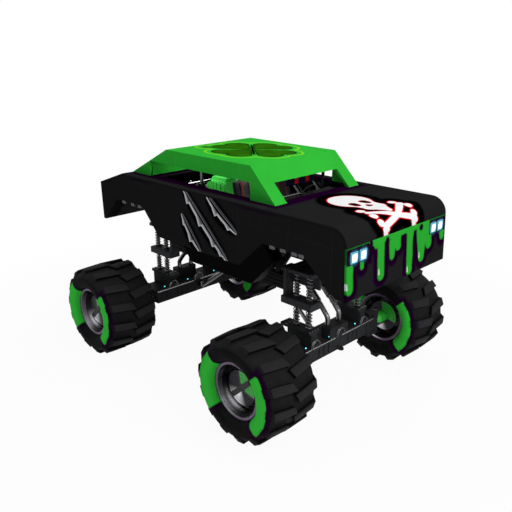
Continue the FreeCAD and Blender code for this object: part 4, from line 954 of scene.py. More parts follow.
# the share of it that each of a lug's first rows takes, and their step away from the middle line
LUG_END_SHARE, LUG_END_STEP = (1.0, 0.45), 0.012
CARCASS = ((0.452, 0.392), (0.459, 0.418), (0.474, 0.452), (0.500, 0.492), (0.535, 0.515),
           (0.575, 0.5225), (0.615, 0.5235), (0.655, 0.5200), (0.690, 0.506), (0.722, 0.480),
           (0.744, 0.440), (0.756, 0.300), (0.766, 0.150), (0.771, 0.0))
RIM = ((0.447, 0.399), (0.4495, 0.407), (0.449, 0.416), (0.443, 0.4205), (0.432, 0.4215),
       (0.408, 0.420), (0.402, 0.414), (0.398, 0.404), (0.353, 0.226), (0.347, 0.218),
       (0.333, 0.216), (0.329, 0.210), (0.323, 0.184), (0.318, 0.179), (0.301, 0.176),
       (0.297, 0.170), (0.291, 0.146), (0.286, 0.141), (0.272, 0.138), (0.267, 0.131),
       (0.262, 0.119), (0.140, 0.119), (0.140, 0.095), (0.300, 0.095), (0.340, 0.080),
       (0.369, 0.030), (0.369, -0.350), (0.382, -0.392), (0.402, -0.414), (0.432, -0.4215),
       (0.443, -0.4205), (0.449, -0.416), (0.4495, -0.407), (0.447, -0.399), (0.430, -0.396),
       (0.421, -0.380), (0.421, 0.380), (0.430, 0.396))
HUB = ((0.0, -0.100), (0.146, -0.100), (0.150, -0.094), (0.150, 0.180), (0.144, 0.190), (0.112, 0.196),
       (0.100, 0.206), (0.095, 0.222), (0.095, 0.268), (0.104, 0.274), (0.270, 0.275), (0.279, 0.279),
       (0.280, 0.292), (0.275, 0.299), (0.262, 0.300), (0.258, 0.297), (0.240, 0.297), (0.236, 0.300),
       (0.070, 0.301), (0.0, 0.301))
BAR_TURN = math.radians(43.0)
# columns: place along the bar, head radius
BAR_BOLTS = ((-0.235, 0.014), (-0.175, 0.011), (0.0, 0.020), (0.115, 0.013), (0.238, 0.013))


def lug_mesh(row, side):
    """One chevron lug of the tread: row 1 lies outboard of the middle line, row -1 inboard."""
    corners, faces = [], []
    shift = 0.0 if row > 0 else 0.5
    width = len(LUG_SECTION)
    for n, (out, share, root, tip) in enumerate(LUG_LINE):
        for half, depth in LUG_SECTION:
            reach = out
            if n < len(LUG_END_SHARE):
                reach = out + LUG_END * half * row * LUG_END_SHARE[n] + LUG_END_STEP
            turn = math.radians(LUG_MIDDLE + shift * LUG_PITCH + share * LUG_SWEEP + half)
            radius = tip - (tip - root) * depth
            corners.append((radius * math.cos(turn), reach * row * side, radius * math.sin(turn)))
    for k in range(len(LUG_LINE) - 1):
        for n in range(width):
            m = (n + 1) % width
            faces.append([k * width + n, k * width + m, (k + 1) * width + m, (k + 1) * width + n])
    last = (len(LUG_LINE) - 1) * width
    faces += [list(range(width))[::-1], list(range(last, last + width))]
    return mesh_of("lug", corners, faces)


def wheel(end, side):
    """Tyre, lugs, rim, hub cap, bolted bar, nuts and the bolts of the lip."""
    centre, out = wheel_centre(end, side), OUT[side]
    body, tag = "wheel_%s_%s" % (end, side), "%s_%s" % (end, side)
    outline = [(r, y) for r, y in CARCASS] + [(r, -y) for r, y in reversed(CARCASS[:-1])]
    inner = [(0.423, -0.372), (0.56, -0.46), (0.69, -0.44), (0.72, 0.0), (0.69, 0.44), (0.56, 0.46),
             (0.423, 0.372)]
    mesh = moved(revolve("tyre", outline + inner, 112, True), centre)
    place("tyre_carcass_" + tag, note_local(mesh, centre, out), tyre_rubber, "tyre_rubber",
          ("tyre_" + tag,), body, 50)
    pair = joined("lugs", lug_mesh(1, out), lug_mesh(-1, out))
    mesh = spun.grow("lugs", pair, tyre_rubber, Count=LUGS, Step=math.radians(LUG_PITCH),
                     Centre=tuple(centre))
    place("tyre_lugs_" + tag, note_local(mesh, centre, out), tyre_rubber, "tyre_rubber", (), body, 40)
    mesh = moved(revolve("rim", RIM, 112, True), centre, out)
    place("rim_" + tag + "_turned", note_local(mesh, centre, out), rim_metal, "wheel_metal",
          ("rim_" + tag,), body, 24)
    mesh = moved(revolve("hub", HUB, 80), centre, out)
    place("hub_cap_" + tag, note_local(mesh, centre, out), cap_metal, "wheel_metal", (), body, 24)
    # the bolted bar, its heads, and the nuts of the disc
    bar = block("bar", (-0.262, 0.297, -0.040), (0.262, 0.328, 0.040), 0.007, 3)
    turned = Matrix.Rotation(-BAR_TURN, 4, "Y")
    place("hub_bar_" + tag, moved(bar, centre, out, turned), bar_black, "wheel_metal", (), body)
    heads = []
    for along, size in BAR_BOLTS:
        head = ((0, 0.322), (size, 0.322), (size, 0.3265), (size * 0.8, 0.328), (0, 0.328))
        washer = ((0, 0.318), (size * 1.5, 0.318), (size * 1.5, 0.3225), (0, 0.3225))
        both = joined("bolt", revolve("head", head, 6), revolve("washer", washer, 18))
        both.transform(Matrix.Translation((along, 0, 0)))
        heads.append(both)
    bolts = moved(joined("bolts", *heads), centre, out, turned)
    place("bar_bolts_" + tag, bolts, bolt_steel, "bright_steel", (), body)
    nut = revolve("nut", ((0, 0.1), (0.017, 0.1), (0.017, 0.142), (0.013, 0.148), (0, 0.148)), 6)
    nut.transform(Matrix.Translation((0.215, 0, 0)))
    lip = revolve("lip_bolt", ((0, 0.415), (0.008, 0.415), (0.008, 0.424), (0.006, 0.426), (0, 0.426)), 6)
    lip.transform(Matrix.Translation((0.420, 0, 0)))
    for seed, count, name in ((nut, 10, "wheel_nuts_"), (lip, 28, "lip_bolts_")):
        mesh = spun.grow(name, moved(seed, (0, 0, 0), out), bolt_steel, Count=count, Step=2 * math.pi / count,
                         Centre=tuple(centre))
        place(name + tag, mesh, bolt_steel, "bright_steel", (), body)


for end, side in CORNERS:
    wheel(end, side)


# ------------------------------------------------------------------ steering
KINGPIN_Y, ARM_REACH, HUB_Z = 1.2, 0.5, 0.838
SHIELD = ((0, -0.607), (0.070, -0.607), (0.116, -0.560), (0.120, -0.552), (0.120, -0.330), (0.278, -0.307),
          (0.280, -0.303), (0.280, -0.292), (0.276, -0.289), (0.160, -0.289), (0.120, -0.280),
          (0.118, -0.206), (0.0, -0.205))


def knuckle(end, side):
    """Hub carrier, dust shield, kingpin barrel and steering arm, round where the solid is flat-sided."""
    centre, out = wheel_centre(end, side), OUT[side]
    tag, body = "%s_%s" % (end, side), "knuckle_%s_%s" % (end, side)
    pin = Vector((centre.x, KINGPIN_Y * out, centre.z))
    shield = moved(revolve("shield", SHIELD, 72), centre, out)
    place("dust_shield_" + tag, note_local(shield, centre, out), cap_metal, "axle_grey", (), body, 24)
    barrel = ((0, -0.174), (0.066, -0.174), (0.070, -0.170), (0.070, 0.170), (0.066, 0.174), (0, 0.174))
    post = moved(revolve("barrel", barrel, 40), pin, 1.0, UPRIGHT)
    pin_end = ((0, -0.236), (0.026, -0.236), (0.032, -0.230), (0.032, 0.230), (0.026, 0.236), (0, 0.236))
    post = joined("kingpin", post, moved(revolve("pin", pin_end, 28), pin, 1.0, UPRIGHT))
    arm_z = centre.z - 0.16
    y0, y1, foot = pin.y - 0.027, pin.y + 0.027, arm_z + 0.001
    arm = block("arm", (pin.x - ARM_REACH, y0, foot), (pin.x - 0.042, y1, arm_z + 0.035), 0.006)
    drop = block("drop", (pin.x - 0.119, y0, foot), (pin.x - 0.021, y1, centre.z), 0.006)
    boss = ((0, 0.0005), (0.040, 0.0005), (0.042, 0.003), (0.042, 0.033), (0.039, 0.036), (0, 0.036))
    eye = moved(revolve("eye", boss, 32), (pin.x - ARM_REACH, pin.y, arm_z), 1.0, UPRIGHT)
    place(body + "_cast", joined("knuckle", post, arm, drop, eye), axle_coat, "axle_grey", (body,), body)


def tie_rod(end):
    """The rod between the steering arms: a round bar, six-sided sleeves and two blocks for eyes."""
    low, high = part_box("tie_rod_" + end)
    middle = (low + high) / 2
    z = wheel_centre(end, "left").z - 0.19
    rod = tube("rod", [(middle.x, s * 1.13, z) for s in (-1, 1)], 0.0255, 20)
    sleeves = [tube("sleeve", [(middle.x, s * y, z) for y in (0.99, 1.10)], 0.028, 6) for s in (-1, 1)]
    eyes = [block("eye", (middle.x - 0.034, min(s * 1.10, s * 1.235), low.z + 0.002),
                  (middle.x + 0.034, max(s * 1.10, s * 1.235), high.z - 0.002), 0.014, 3) for s in (-1, 1)]
    name = "tie_rod_" + end
    place(name + "_rod", joined("tie", rod, *sleeves, *eyes), bright, "axle_grey", (name,), name)


for end, side in CORNERS:
    knuckle(end, side)
for end in ENDS:
    tie_rod(end)


# ------------------------------------------------------------------ suspension
SHOCK_FOOT, LOW_TOP, UP_FOOT, SHOCK_HEAD = 1.2903, 1.6397, 1.7603, 2.1897
SPRING_SEAT, WIRE, SHOCK_Y = 0.020, 0.0088, 0.64


def shock_places(end):
    """Where the two shocks of a corner stand along the truck."""
    middle = wheel_centre(end, "left").x + INBOARD[end] * 0.12
    return [middle - 0.13, middle + 0.13]


def shocks():
    """Dampers with their seats, one piece a corner, and all coils from one rule."""
    outline = ((0, SHOCK_FOOT), (0.056, SHOCK_FOOT), (0.058, SHOCK_FOOT + 0.003), (0.058, SHOCK_FOOT + 0.016),
               (0.054, SHOCK_FOOT + 0.020), (0.036, SHOCK_FOOT + 0.022), (0.034, SHOCK_FOOT + 0.030),
               (0.034, 1.50), (0.037, 1.504), (0.037, 1.530), (0.034, 1.534), (0.026, 1.538), (0.024, 1.60),
               (0.052, 1.604), (0.055, 1.608), (0.055, LOW_TOP - 0.006), (0.050, LOW_TOP - 0.001),
               (0.033, LOW_TOP), (0.033, UP_FOOT), (0.050, UP_FOOT + 0.001), (0.055, UP_FOOT + 0.006),
               (0.055, UP_FOOT + 0.028), (0.050, UP_FOOT + 0.032), (0.034, UP_FOOT + 0.036), (0.034, 2.02),
               (0.037, 2.024), (0.037, 2.05), (0.024, 2.058), (0.024, 2.15), (0.054, 2.158), (0.058, 2.162),
               (0.058, SHOCK_HEAD - 0.003), (0.056, SHOCK_HEAD), (0, SHOCK_HEAD))
    for end, side in CORNERS:
        tag = "%s_%s" % (end, side)
        bodies = []
        for x in shock_places(end):
            damper = revolve("damper", outline, 32)
            damper.transform(Matrix.Rotation(math.radians(180), 4, "X"))
            damper.transform(Matrix.Rotation(math.radians(-90), 4, "X"))
            bodies.append(moved(damper, (x, OUT[side] * SHOCK_Y, 0)))
        place("dampers_" + tag, joined("dampers", *bodies), damper_black, "spring_steel",
              ("coilovers_" + tag,), sharp=24)
    for name, low, high, turns in (("springs_low", SHOCK_FOOT + SPRING_SEAT, LOW_TOP - 0.034, 5.2),
                                   ("springs_high", UP_FOOT + 0.034, SHOCK_HEAD - 0.032, 6.4)):
        seed = bpy.data.meshes.new(name)
        seed.from_pydata([(x, OUT[side] * SHOCK_Y, low + WIRE)
                          for end, side in CORNERS for x in shock_places(end)], [], [])
        mesh = coil.grow(name, seed, spring_steel, Turns=turns, Radius=0.0485, Wire=WIRE,
                         Height=high - low - WIRE)
        place(name, mesh, spring_steel, "spring_steel", sharp=60)


def radius_arms():
    """Polished tubes with collars, on their bent lines."""
    for end in ENDS:
        ax, inb = wheel_centre(end, "left").x, INBOARD[end]
        arms, collars = [], []
        for y in (-0.15, 0.15):
            foot = 1.1803
            knee = Vector((ax + inb * 0.15, y, foot + 0.32))
            elbow = Vector((ax + inb * 0.61, y, 1.95))
            route = [(ax, y, foot), (ax, y, foot + 0.15), knee, elbow, (ax + inb * 0.7597, y, 1.95)]
            arms.append(tube("arm", round_route(route, 0.12), 0.043, 28))
            run = elbow - knee
            sleeve = [knee + run * share for share in (0.12, 0.5, 0.88)]
            arms.append(tube("sleeve", sleeve, 0.055, 28, 0.008))
            for share in (0.16, 0.84):
                collar = [knee + run * (share - 0.016), knee + run * (share + 0.016)]
                collars.append(tube("collar", collar, 0.056, 28))
            for tip, way in ((route[0], (0, 0, 1)), (route[-1], (-inb, 0, 0))):
                collars.append(tube("foot", [tip, Vector(tip) + Vector(way) * 0.022], 0.053, 28, 0.006))
        name = "radius_arms_" + end
        place(name + "_tubes", joined("arms", *arms), bright, "bright_steel", (name,))
        place(name + "_collars", joined("collars", *collars), axle_coat, "bright_steel")


shocks()
radius_arms()


# ------------------------------------------------------------------ axles, towers and frame
AXLE_TOP, AXLE_LOW = 0.99, 0.742
SPRING_PEDESTALS = (-SHOCK_Y, SHOCK_Y)


def axle_dress(end):
    """Bolts, ribs and lamp hoops on a box axle."""
    eased("axle_" + end, axle_coat, 0.006)
    ax, inb = wheel_centre(end, "left").x, INBOARD[end]
    out = -inb
    face, back = ax + out * 0.13, ax + inb * 0.38
    top, low = AXLE_TOP, AXLE_LOW
    up, ahead = (0, 0, 1), (out, 0, 0)
    rows = []
    for y0, y1 in ((-0.97, -0.75), (-0.53, -0.26), (0.26, 0.53), (0.75, 0.97)):
        rows.append(((face - out * 0.025, y0, top), (face - out * 0.025, y1, top), up))
        rows.append(((back + out * 0.025, y0, top), (back + out * 0.025, y1, top), up))
    bolt_rows("axle_%s_top_bolts" % end, rows, 0.045, 0.0080, bolt_steel)
    rows = []
    for z in (low + 0.028, top - 0.030):
        rows.append(((face, -0.96, z), (face, -0.10, z), ahead))
        rows.append(((face, 0.10, z), (face, 0.96, z), ahead))
    for y in SPRING_PEDESTALS:
        rows += [((face, y + k * 0.045, 1.03), (face, y + k * 0.045, 1.21), ahead) for k in (-1, 1)]
    for y in (-0.19, 0.19):
        rows.append(((face, y, 1.03), (face, y, 1.15), ahead))
    bolt_rows("axle_%s_face_bolts" % end, rows, 0.060, 0.0075, dark_bolts)
    for y in SPRING_PEDESTALS:
        rows = [((x, y - 0.095, 1.29), (x, y + 0.095, 1.29), up) for x in (ax - inb * 0.115, ax + inb * 0.37)]
        side = "left" if y > 0 else "right"
        bolt_rows("axle_%s_seat_bolts_%s" % (end, side), rows, 0.062, 0.011, bolt_steel)
    strip = [((x, s * 0.10, top - 0.010), (x, s * 0.985, top - 0.010), (way, 0, 0))
             for x, way in ((face, out), (back, inb)) for s in (-1, 1)]
    bolt_rows("axle_%s_edge_studs" % end, strip, 0.026, 0.0062, stud_steel, height=0.006)
    ribs = []
    for edge, way in ((face, out), (back, inb)):
        x0, x1 = sorted((edge - way * 0.002, edge + way * 0.014))
        for y in (-0.90, -0.78, -0.50, -0.38, -0.26, 0.26, 0.38, 0.50, 0.78, 0.90):
            ribs.append(block("rib", (x0, y - 0.007, low + 0.05), (x1, y + 0.007, top - 0.052), 0.003))
    place("axle_%s_ribs" % end, joined("ribs", *ribs), axle_coat, "axle_grey")
    hoops, points, posts = [], [], []
    edge, way = (face, out) if end == "front" else (back, inb)
    for y in (-0.64, 0.0, 0.64):
        for x in (edge + way * 0.016, edge + way * 0.040):
            arc = [(x, y + 0.020 - 0.100 * math.cos(turn), 1.000 + 0.135 * math.sin(turn))
                   for turn in [math.pi * k / 18 for k in range(19)]]
            hoops.append(tube("hoop", arc, 0.0065, 12, 0.002))
        at = Vector((edge - way * 0.030, y - (0.165 if y else 0.225), 1.045))
        lens = revolve("lens", ((0, 0.0), (0.013, 0.0), (0.013, 0.006), (0.009, 0.011), (0, 0.012)), 20)
        lens.transform(Matrix.Rotation(math.radians(-90 * way), 4, "Z"))
        lens.transform(Matrix.Translation(at))
        points.append(lens)
        posts.append(tube("post", [(at.x, at.y, top - 0.004), (at.x, at.y, 1.050)], 0.010, 12, 0.002))
    place("axle_%s_hoops" % end, joined("hoops", *hoops), bright, "bright_steel")
    place("axle_%s_marker_posts" % end, joined("posts", *posts), axle_coat, "axle_grey")
    place("axle_%s_marker_lamps" % end, joined("markers", *points), marker_cyan, "lamp_glass")


COLLAR = ((0.034, 0.225), (0.062, 0.225), (0.066, 0.229), (0.066, 0.234), (0.062, 0.237), (0.034, 0.237))


def pivot_rings(end):
    """Round collars over the flat-sided kingpin ends of a yoke."""
    rings = []
    ax = wheel_centre(end, "left").x
    for y in (-KINGPIN_Y, KINGPIN_Y):
        for way in (-1, 1):
            ring = revolve("ring", COLLAR, 36, True)
            ring.transform(Matrix.Rotation(math.radians(90 * way), 4, "X"))
            rings.append(moved(ring, (ax, y, HUB_Z)))
    place("yoke_%s_collars" % end, joined("rings", *rings), bolt_steel, "axle_grey")


def towers():
    """The shock towers and frame rails, with their bolts."""
    eased("shock_towers", tower_coat, 0.006)
    eased("frame_rails", frame_coat, 0.004, 1)
    rows, tops = [], []
    for end in ENDS:
        ax, inb = wheel_centre(end, "left").x, INBOARD[end]
        for s in (-1, 1):
            for k in (-0.10, 0.36):
                x = ax + inb * k
                tops.append(((x, s * (SHOCK_Y - 0.09), 2.25), (x, s * (SHOCK_Y + 0.09), 2.25), (0, 0, 1)))
                rows.append(((x, s * (SHOCK_Y + 0.11), 2.205), (x, s * (SHOCK_Y + 0.11), 2.235), (0, s, 0)))
                rows.append(((x, s * (SHOCK_Y + 0.11), 1.665), (x, s * (SHOCK_Y + 0.11), 1.735), (0, s, 0)))
    bolt_rows("tower_top_bolts", tops, 0.06, 0.010, bolt_steel)
    bolt_rows("tower_side_bolts", rows, 0.05, 0.009, dark_bolts)
    rails = []
    for s in (-1, 1):
        for face in (-1, 1):
            y = s * 0.64 + face * 0.06
            for z in (1.856, 2.066):
                rails.append(((-1.35, y, z), (1.15, y, z), (0, face, 0)))
    bolt_rows("rail_bolts", rails, 0.14, 0.008, dark_bolts)


def driveline():
    """Ribbed transfer case and balanced shafts with round yokes."""
    top = 1.8797
    case = [block("case", (-0.26, -0.12, top - 0.22), (0.26, 0.24, top), 0.018, 3)]
    for k in range(9):
        x = -0.22 + k * 0.055
        case.append(block("fin", (x - 0.006, -0.125, top - 0.205), (x + 0.006, 0.245, top - 0.015), 0.002, 1))
    shafts = []
    for end in ENDS:
        inb = INBOARD[end]
        start = Vector((-inb * 0.255, 0.06, top - 0.11))
        stop = Vector((wheel_centre(end, "left").x + inb * 0.3803, 0.06, 0.88))
        near, far = start + Vector((-inb * 0.12, 0, 0)), stop + Vector((inb * 0.12, 0, 0))
        shafts.append(tube("shaft", [near, far], 0.037, 28))
        for a, b in ((start, near), (far, stop)):
            shafts.append(tube("yoke", [a, b], 0.054, 28, 0.010))
        for share in (0.12, 0.86):
            middle = near.lerp(far, share)
            way = (far - near).normalized()
            shafts.append(tube("band", [middle - way * 0.02, middle + way * 0.02], 0.038, 28, 0.002))
    place("drive_case", joined("case", *case), axle_coat, "axle_grey", ("driveline",))
    place("drive_shafts", joined("shafts", *shafts), bright, "axle_grey")


marker_cyan = glowing("marker_lens", rgb(90, 240, 255), rgb(20, 160, 220))
for end in ENDS:
    axle_dress(end)
    pivot_rings(end)
towers()
driveline()


# ------------------------------------------------------------------ body shell
eased("hood", paint_hood, 0.010, 3)
eased("nose_panel", paint_nose, 0.006, 2)
eased("rear_deck", paint_deck, 0.010, 3)
eased("tail_panel", paint_tail, 0.008, 2)
eased("roof", paint_roof, 0.0, 1)
for side in SIDES:
    eased("side_" + side, paint_side, 0.008, 2)
eased("rockers", rocker_twill, 0.012, 3)
eased("floor_pan", under_black, 0.004, 1)


SHELL_HALF = 1.276


def cab_dress():
    """Bulkhead behind the side windows, the pod hung from the front hoop, and the cowl's grab tube."""
    bulkhead = block("bulkhead", (-1.690, -0.975, 3.300), (-1.668, 0.975, 3.560), 0.004)
    place("rear_bulkhead", bulkhead, paint_inner, "roof_green")
    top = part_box("roll_cage")[1].z - 0.03
    pod = block("pod", (0.795, -0.09, 3.345), (0.845, 0.60, 3.485), 0.010, 3)
    stems = [tube("stem", [(0.82, y, 3.480), (0.82, y, top)], 0.012, 16) for y in (0.02, 0.49)]
    place("hung_pod", joined("pod", pod, *stems), panel_navy, "dash_navy")
    plates = [block("plate", (0.843, y - 0.045, 3.360), (0.850, y + 0.045, 3.470), 0.003)
              for y in (0.135, 0.41)]
    place("pod_plates", joined("plates", *plates), dash_red, "harness_red")
    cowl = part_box("dash")[1]
    grab = ((-0.50, -0.010), (-0.495, 0.015), (-0.480, 0.028), (-0.460, 0.032),
            (-0.08, 0.032), (-0.06, 0.028), (-0.045, 0.015), (-0.04, -0.010))
    grab = [(1.10, y, cowl.z + z) for y, z in grab]
    place("cowl_grab_tube", tube("grab", grab, 0.017, 20), bright, "bright_steel")


def body_trim():
    """Clips on the arches' edges, and rows of rivets on the sides."""
    clips, rivets = [], []
    for s in (-1, 1):
        y = s * SHELL_HALF
        for x in (1.634, 1.851, 2.071, 2.205, -2.231, -1.943, -1.727):
            y0, y1 = sorted((y - s * 0.030, y + s * 0.004))
            clips.append(block("clip", (x - 0.050, y0, 2.722), (x + 0.050, y1, 2.776), 0.006))
        way = (0, s, 0)
        rivets += [((1.989, y, 3.048), (2.623, y, 3.017), way), ((2.259, y, 2.786), (2.687, y, 2.776), way),
                   ((-1.787, y, 3.182), (-1.184, y, 3.152), way), ((2.74, y, 2.40), (2.74, y, 2.95), way),
                   ((-0.95, y, 2.33), (0.72, y, 2.33), way)]
    place("arch_clips", joined("clips", *clips), clip_grey, "frame_grey")
    bolt_rows("body_rivets", rivets, 0.075, 0.0050, dark_bolts, height=0.003, corners=8)


def lamp_lens_mesh(x, y, z, half=0.074, count=16):
    """A domed square lens with swelling sides, facing +X."""
    corners, faces = [], []
    for a in range(count + 1):
        for b in range(count + 1):
            u, v = 2 * a / count - 1, 2 * b / count - 1
            su, sv = u * math.sqrt(1 - v * v * 0.22), v * math.sqrt(1 - u * u * 0.22)
            dome = 0.010 * (1 - u ** 4) * (1 - v ** 4)
            corners.append((x + dome, y + su * half, z + sv * half))
    for a in range(count):
        for b in range(count):
            n = a * (count + 1) + b
            faces.append([n, n + count + 1, n + count + 2, n + 1])
    mesh = bpy.data.meshes.new("lens")
    mesh.from_pydata(corners, [], faces)
    where = mesh.attributes.new("local", "FLOAT_VECTOR", "POINT")
    where.data.foreach_set("vector", [v for c in corners for v in (c[1] - y, c[2] - z, 0.0)])
    return mesh


def lamp_bezel_mesh(back, front, y, z, half=0.085):
    """An eased block between two planes across X, hollowed from its front face."""
    form = bmesh.new()
    form.from_mesh(block("bezel", (back, y - half, z - half), (front, y + half, z + half), 0.022, 4))
    face = max(form.faces, key=lambda f: f.calc_center_median().x)
    bmesh.ops.inset_region(form, faces=[face], thickness=0.004, depth=0.0)
    inner = bmesh.ops.extrude_face_region(form, geom=[face])["geom"]
    pushed = [v for v in inner if isinstance(v, bmesh.types.BMVert)]
    bmesh.ops.translate(form, verts=pushed, vec=(-0.016, 0, 0))
    bmesh.ops.delete(form, geom=[face], context="FACES_ONLY")
    return baked(form, "bezel")


def lamps():
    """Four square lenses, each domed, in a bezel that glows with painted lamp light."""
    low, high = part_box("headlamps")
    across = [s * LAMP_Y + off for s in (-1, 1) for off in (-LAMP_PAIR, LAMP_PAIR)]
    lenses = [lamp_lens_mesh(high.x - 0.014, y, LAMP_Z) for y in across]
    bezels = [lamp_bezel_mesh(low.x + 0.002, high.x - 0.002, y, LAMP_Z) for y in across]
    place("headlamp_lenses", joined("lenses", *lenses), lamp_lens, "lamp_glass", ("headlamps",))
    place("headlamp_bezels", joined("bezels", *bezels), lamp_rim, "lamp_glass")


dash_red = coated("dash_red", rgb(214, 16, 30), rough=0.35, sheen=0.3, dust=0.0)
body_trim()
cab_dress()
lamps()


# ------------------------------------------------------------------ cab
CAGE_Y, HOOPS_X = 0.86, (-0.42, 0.82)
SEAT_Y = 0.43


def cage():
    """Two round hoops with feet, and two bars a side between them."""
    low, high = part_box("roll_cage")
    top, floor = high.z - 0.03, low.z
    tubes = []
    for x in HOOPS_X:
        line = [(x, -CAGE_Y, floor), (x, -CAGE_Y, top), (x, CAGE_Y, top), (x, CAGE_Y, floor)]
        tubes.append(tube("hoop", round_route(line, 0.10), 0.0295, 20))
        for y in (-CAGE_Y, CAGE_Y):
            tubes.append(tube("foot", [(x, y, floor), (x, y, floor + 0.012)], 0.0298, 20))
    for y in (-CAGE_Y, CAGE_Y):
        for z in (top - 0.03, 2.90):
            tubes.append(tube("bar", [(x, y, z) for x in HOOPS_X], 0.0285, 20))
    place("roll_cage_tubes", joined("cage", *tubes), bright, "frame_grey", ("roll_cage",))


def pipes():
    """Four bent pipes a side with clamps, and a short cross tube a side."""
    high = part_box("exhaust_pipes")[1]
    runs, clamps = [], []
    for s in (-1, 1):
        for k in range(4):
            x = -0.84 + (k - 1.5) * 0.14
            route = [(x, s * 0.3003, 2.86), (x, s * 0.4203, 2.86), (x - 0.12, s * 0.5203, high.z - 0.012)]
            line = round_route(route, 0.09)
            runs.append(tube("pipe", line, 0.0293, 20))
            clamps.append(tube("clamp", [line[0], line[0] + Vector((0, s * 0.016, 0))], 0.036, 20, 0.002))
    for s in (-1, 1):
        runs.append(tube("cross_tube", [(-0.745, s * y, 3.262) for y in (0.915, 0.60, 0.40)], 0.022, 20))
    place("exhaust_runs", joined("pipes", *runs), pipe_chrome, "pipe_chrome", ("exhaust_pipes",))
    place("exhaust_clamps", joined("clamps", *clamps), bolt_steel, "pipe_chrome")


def pad(name, corners, crown, swell):
    """A cushion: eight corners, crowned faces, sides drawn in between the corners, one sewn line."""
    a = [Vector(c) for c in corners]
    form = bmesh.new()
    bmesh.ops.create_cube(form, size=2.0)
    bmesh.ops.subdivide_edges(form, edges=form.edges[:], cuts=9, use_grid_fill=True)
    for vertex in form.verts:
        u, v, w = [(k + 1) / 2 for k in vertex.co]
        at = ((a[0] * (1 - u) + a[1] * u) * (1 - v) + (a[3] * (1 - u) + a[2] * u) * v) * (1 - w) + \
             ((a[4] * (1 - u) + a[5] * u) * (1 - v) + (a[7] * (1 - u) + a[6] * u) * v) * w
        middle = sum(a, Vector()) / 8
        belly = (4 * u * (1 - u)) * (4 * v * (1 - v))
        up = (a[4] - a[0]).normalized()
        at += up * crown * (belly ** 0.5 if belly > 0 else 0) * (w * 2 - 1) * 0.5
        edge = 1 - 4 * w * (1 - w)
        flat = at - middle
        flat -= up * flat.dot(up)
        at -= flat * (swell * edge)
        seam = math.exp(-((v - 0.5) / 0.035) ** 2) * (1 if w > 0.98 else 0) * (4 * u * (1 - u))
        at -= up * seam * crown * 0.5
        vertex.co = at
    return baked(form, name)


def blown(mesh, name, size, cap):
    """Fills a cushion with air in the cloth solver, and keeps what that makes of it."""
    made = shown(name, mesh)
    mesher = made.modifiers.new("voxels", "REMESH")
    mesher.mode = "VOXEL"
    mesher.voxel_size = size
    solid = evaluated(made)
    made.data = solid
    start = [v.co.copy() for v in solid.vertices]
    cloth_made = made.modifiers.new("air", "CLOTH")
    cloth_made.settings.use_pressure = True
    cloth_made.settings.uniform_pressure_force = 4.0
    cloth_made.settings.effector_weights.gravity = 0.0
    cloth_made.settings.quality = 4
    scene = bpy.context.scene
    for step in range(1, 21):
        scene.frame_set(step)
    after = evaluated(made)
    scene.frame_set(1)
    bpy.data.objects.remove(made)
    for vertex, was in zip(after.vertices, start):
        push = vertex.co - was
        if push.length > cap:
            vertex.co = was + push.normalized() * cap
    return after


def seats():
    """A padded pan and back on a shell and plinth, twice."""
    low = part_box("seats")[0]
    for s, tag in ((-1, "right"), (1, "left")):
        middle = s * SEAT_Y
        y0, y1 = middle - 0.225, middle + 0.225
        pan = [(0.37, y0, 2.655), (0.72, y0, 2.655), (0.72, y1, 2.655), (0.37, y1, 2.655),
               (0.36, y0, 2.745), (0.72, y0, 2.745), (0.72, y1, 2.745), (0.36, y1, 2.745)]
        rest = [(0.262, y0, 2.665), (0.262, y1, 2.665), (0.097, y1, 3.40), (0.097, y0, 3.40),
                (0.338, y0, 2.665), (0.338, y1, 2.665), (0.172, y1, 3.40), (0.172, y0, 3.40)]
        for kind, corners in (("pan", pan), ("back", rest)):
            mesh = outward(pad("seat_" + kind, corners, 0.022, 0.03))
            mesh = blown(mesh, "seat_%s_%s" % (kind, tag), 0.011, 0.006)
            cover = place("seat_%s_%s" % (kind, tag), mesh, seat_cloth, "seat_black",
                          ("seats",) if kind == "pan" and s < 0 else (), sharp=80)
            soft = cover.modifiers.new("soft", "SUBSURF")
            soft.levels = soft.render_levels = 1
        base = block("seat_plinth", (0.302, middle - 0.189, low.z + 0.001),
                     (0.678, middle + 0.189, 2.650), 0.012, 3)
        shell = block("seat_shell", (0.31, y0 + 0.02, 2.64), (0.715, y1 - 0.02, 2.668), 0.008, 2)
        place("seat_base_" + tag, joined("base", base, shell), under_black, "seat_black")


def back_face(z):
    """How far forward the seat backs' faces stand at a height."""
    return 0.25 + 0.11 - (z - 2.64) / 0.78 * 0.17


def straps():
    """Red shoulder webbing with bright adjusters, lying on the seat backs."""
    webs, buckles = [], []
    z0, z1 = 2.77, 3.40
    for s in (-1, 1):
        for k in (-1, 1):
            y = s * SEAT_Y + k * 0.095
            count, corners, faces = 26, [], []
            for n in range(count + 1):
                t = n / count
                z = z0 + (z1 - z0) * t
                x = back_face(z) + 0.004 + 0.004 * math.sin(t * 9)
                for dx, dy in ((0, -0.029), (0.003, -0.029), (0.0035, 0.029), (0, 0.029)):
                    corners.append((x + dx, y + dy, z))
            for n in range(count):
                for m in range(4):
                    q = (m + 1) % 4
                    faces.append([n * 4 + m, n * 4 + q, n * 4 + 4 + q, n * 4 + 4 + m])
            faces += [[3, 2, 1, 0], [count * 4 + m for m in range(4)]]
            webs.append(mesh_of("web", corners, faces))
            z = 3.02
            x = back_face(z)
            buckles.append(block("adjuster", (x + 0.004, y - 0.034, z - 0.02),
                                 (x + 0.014, y + 0.034, z + 0.02)))
    place("harness_webbing", joined("webs", *webs), strap_red, "harness_red", ("harness",), sharp=50)
    place("harness_adjusters", joined("adjusters", *buckles), bolt_steel, "bright_steel")


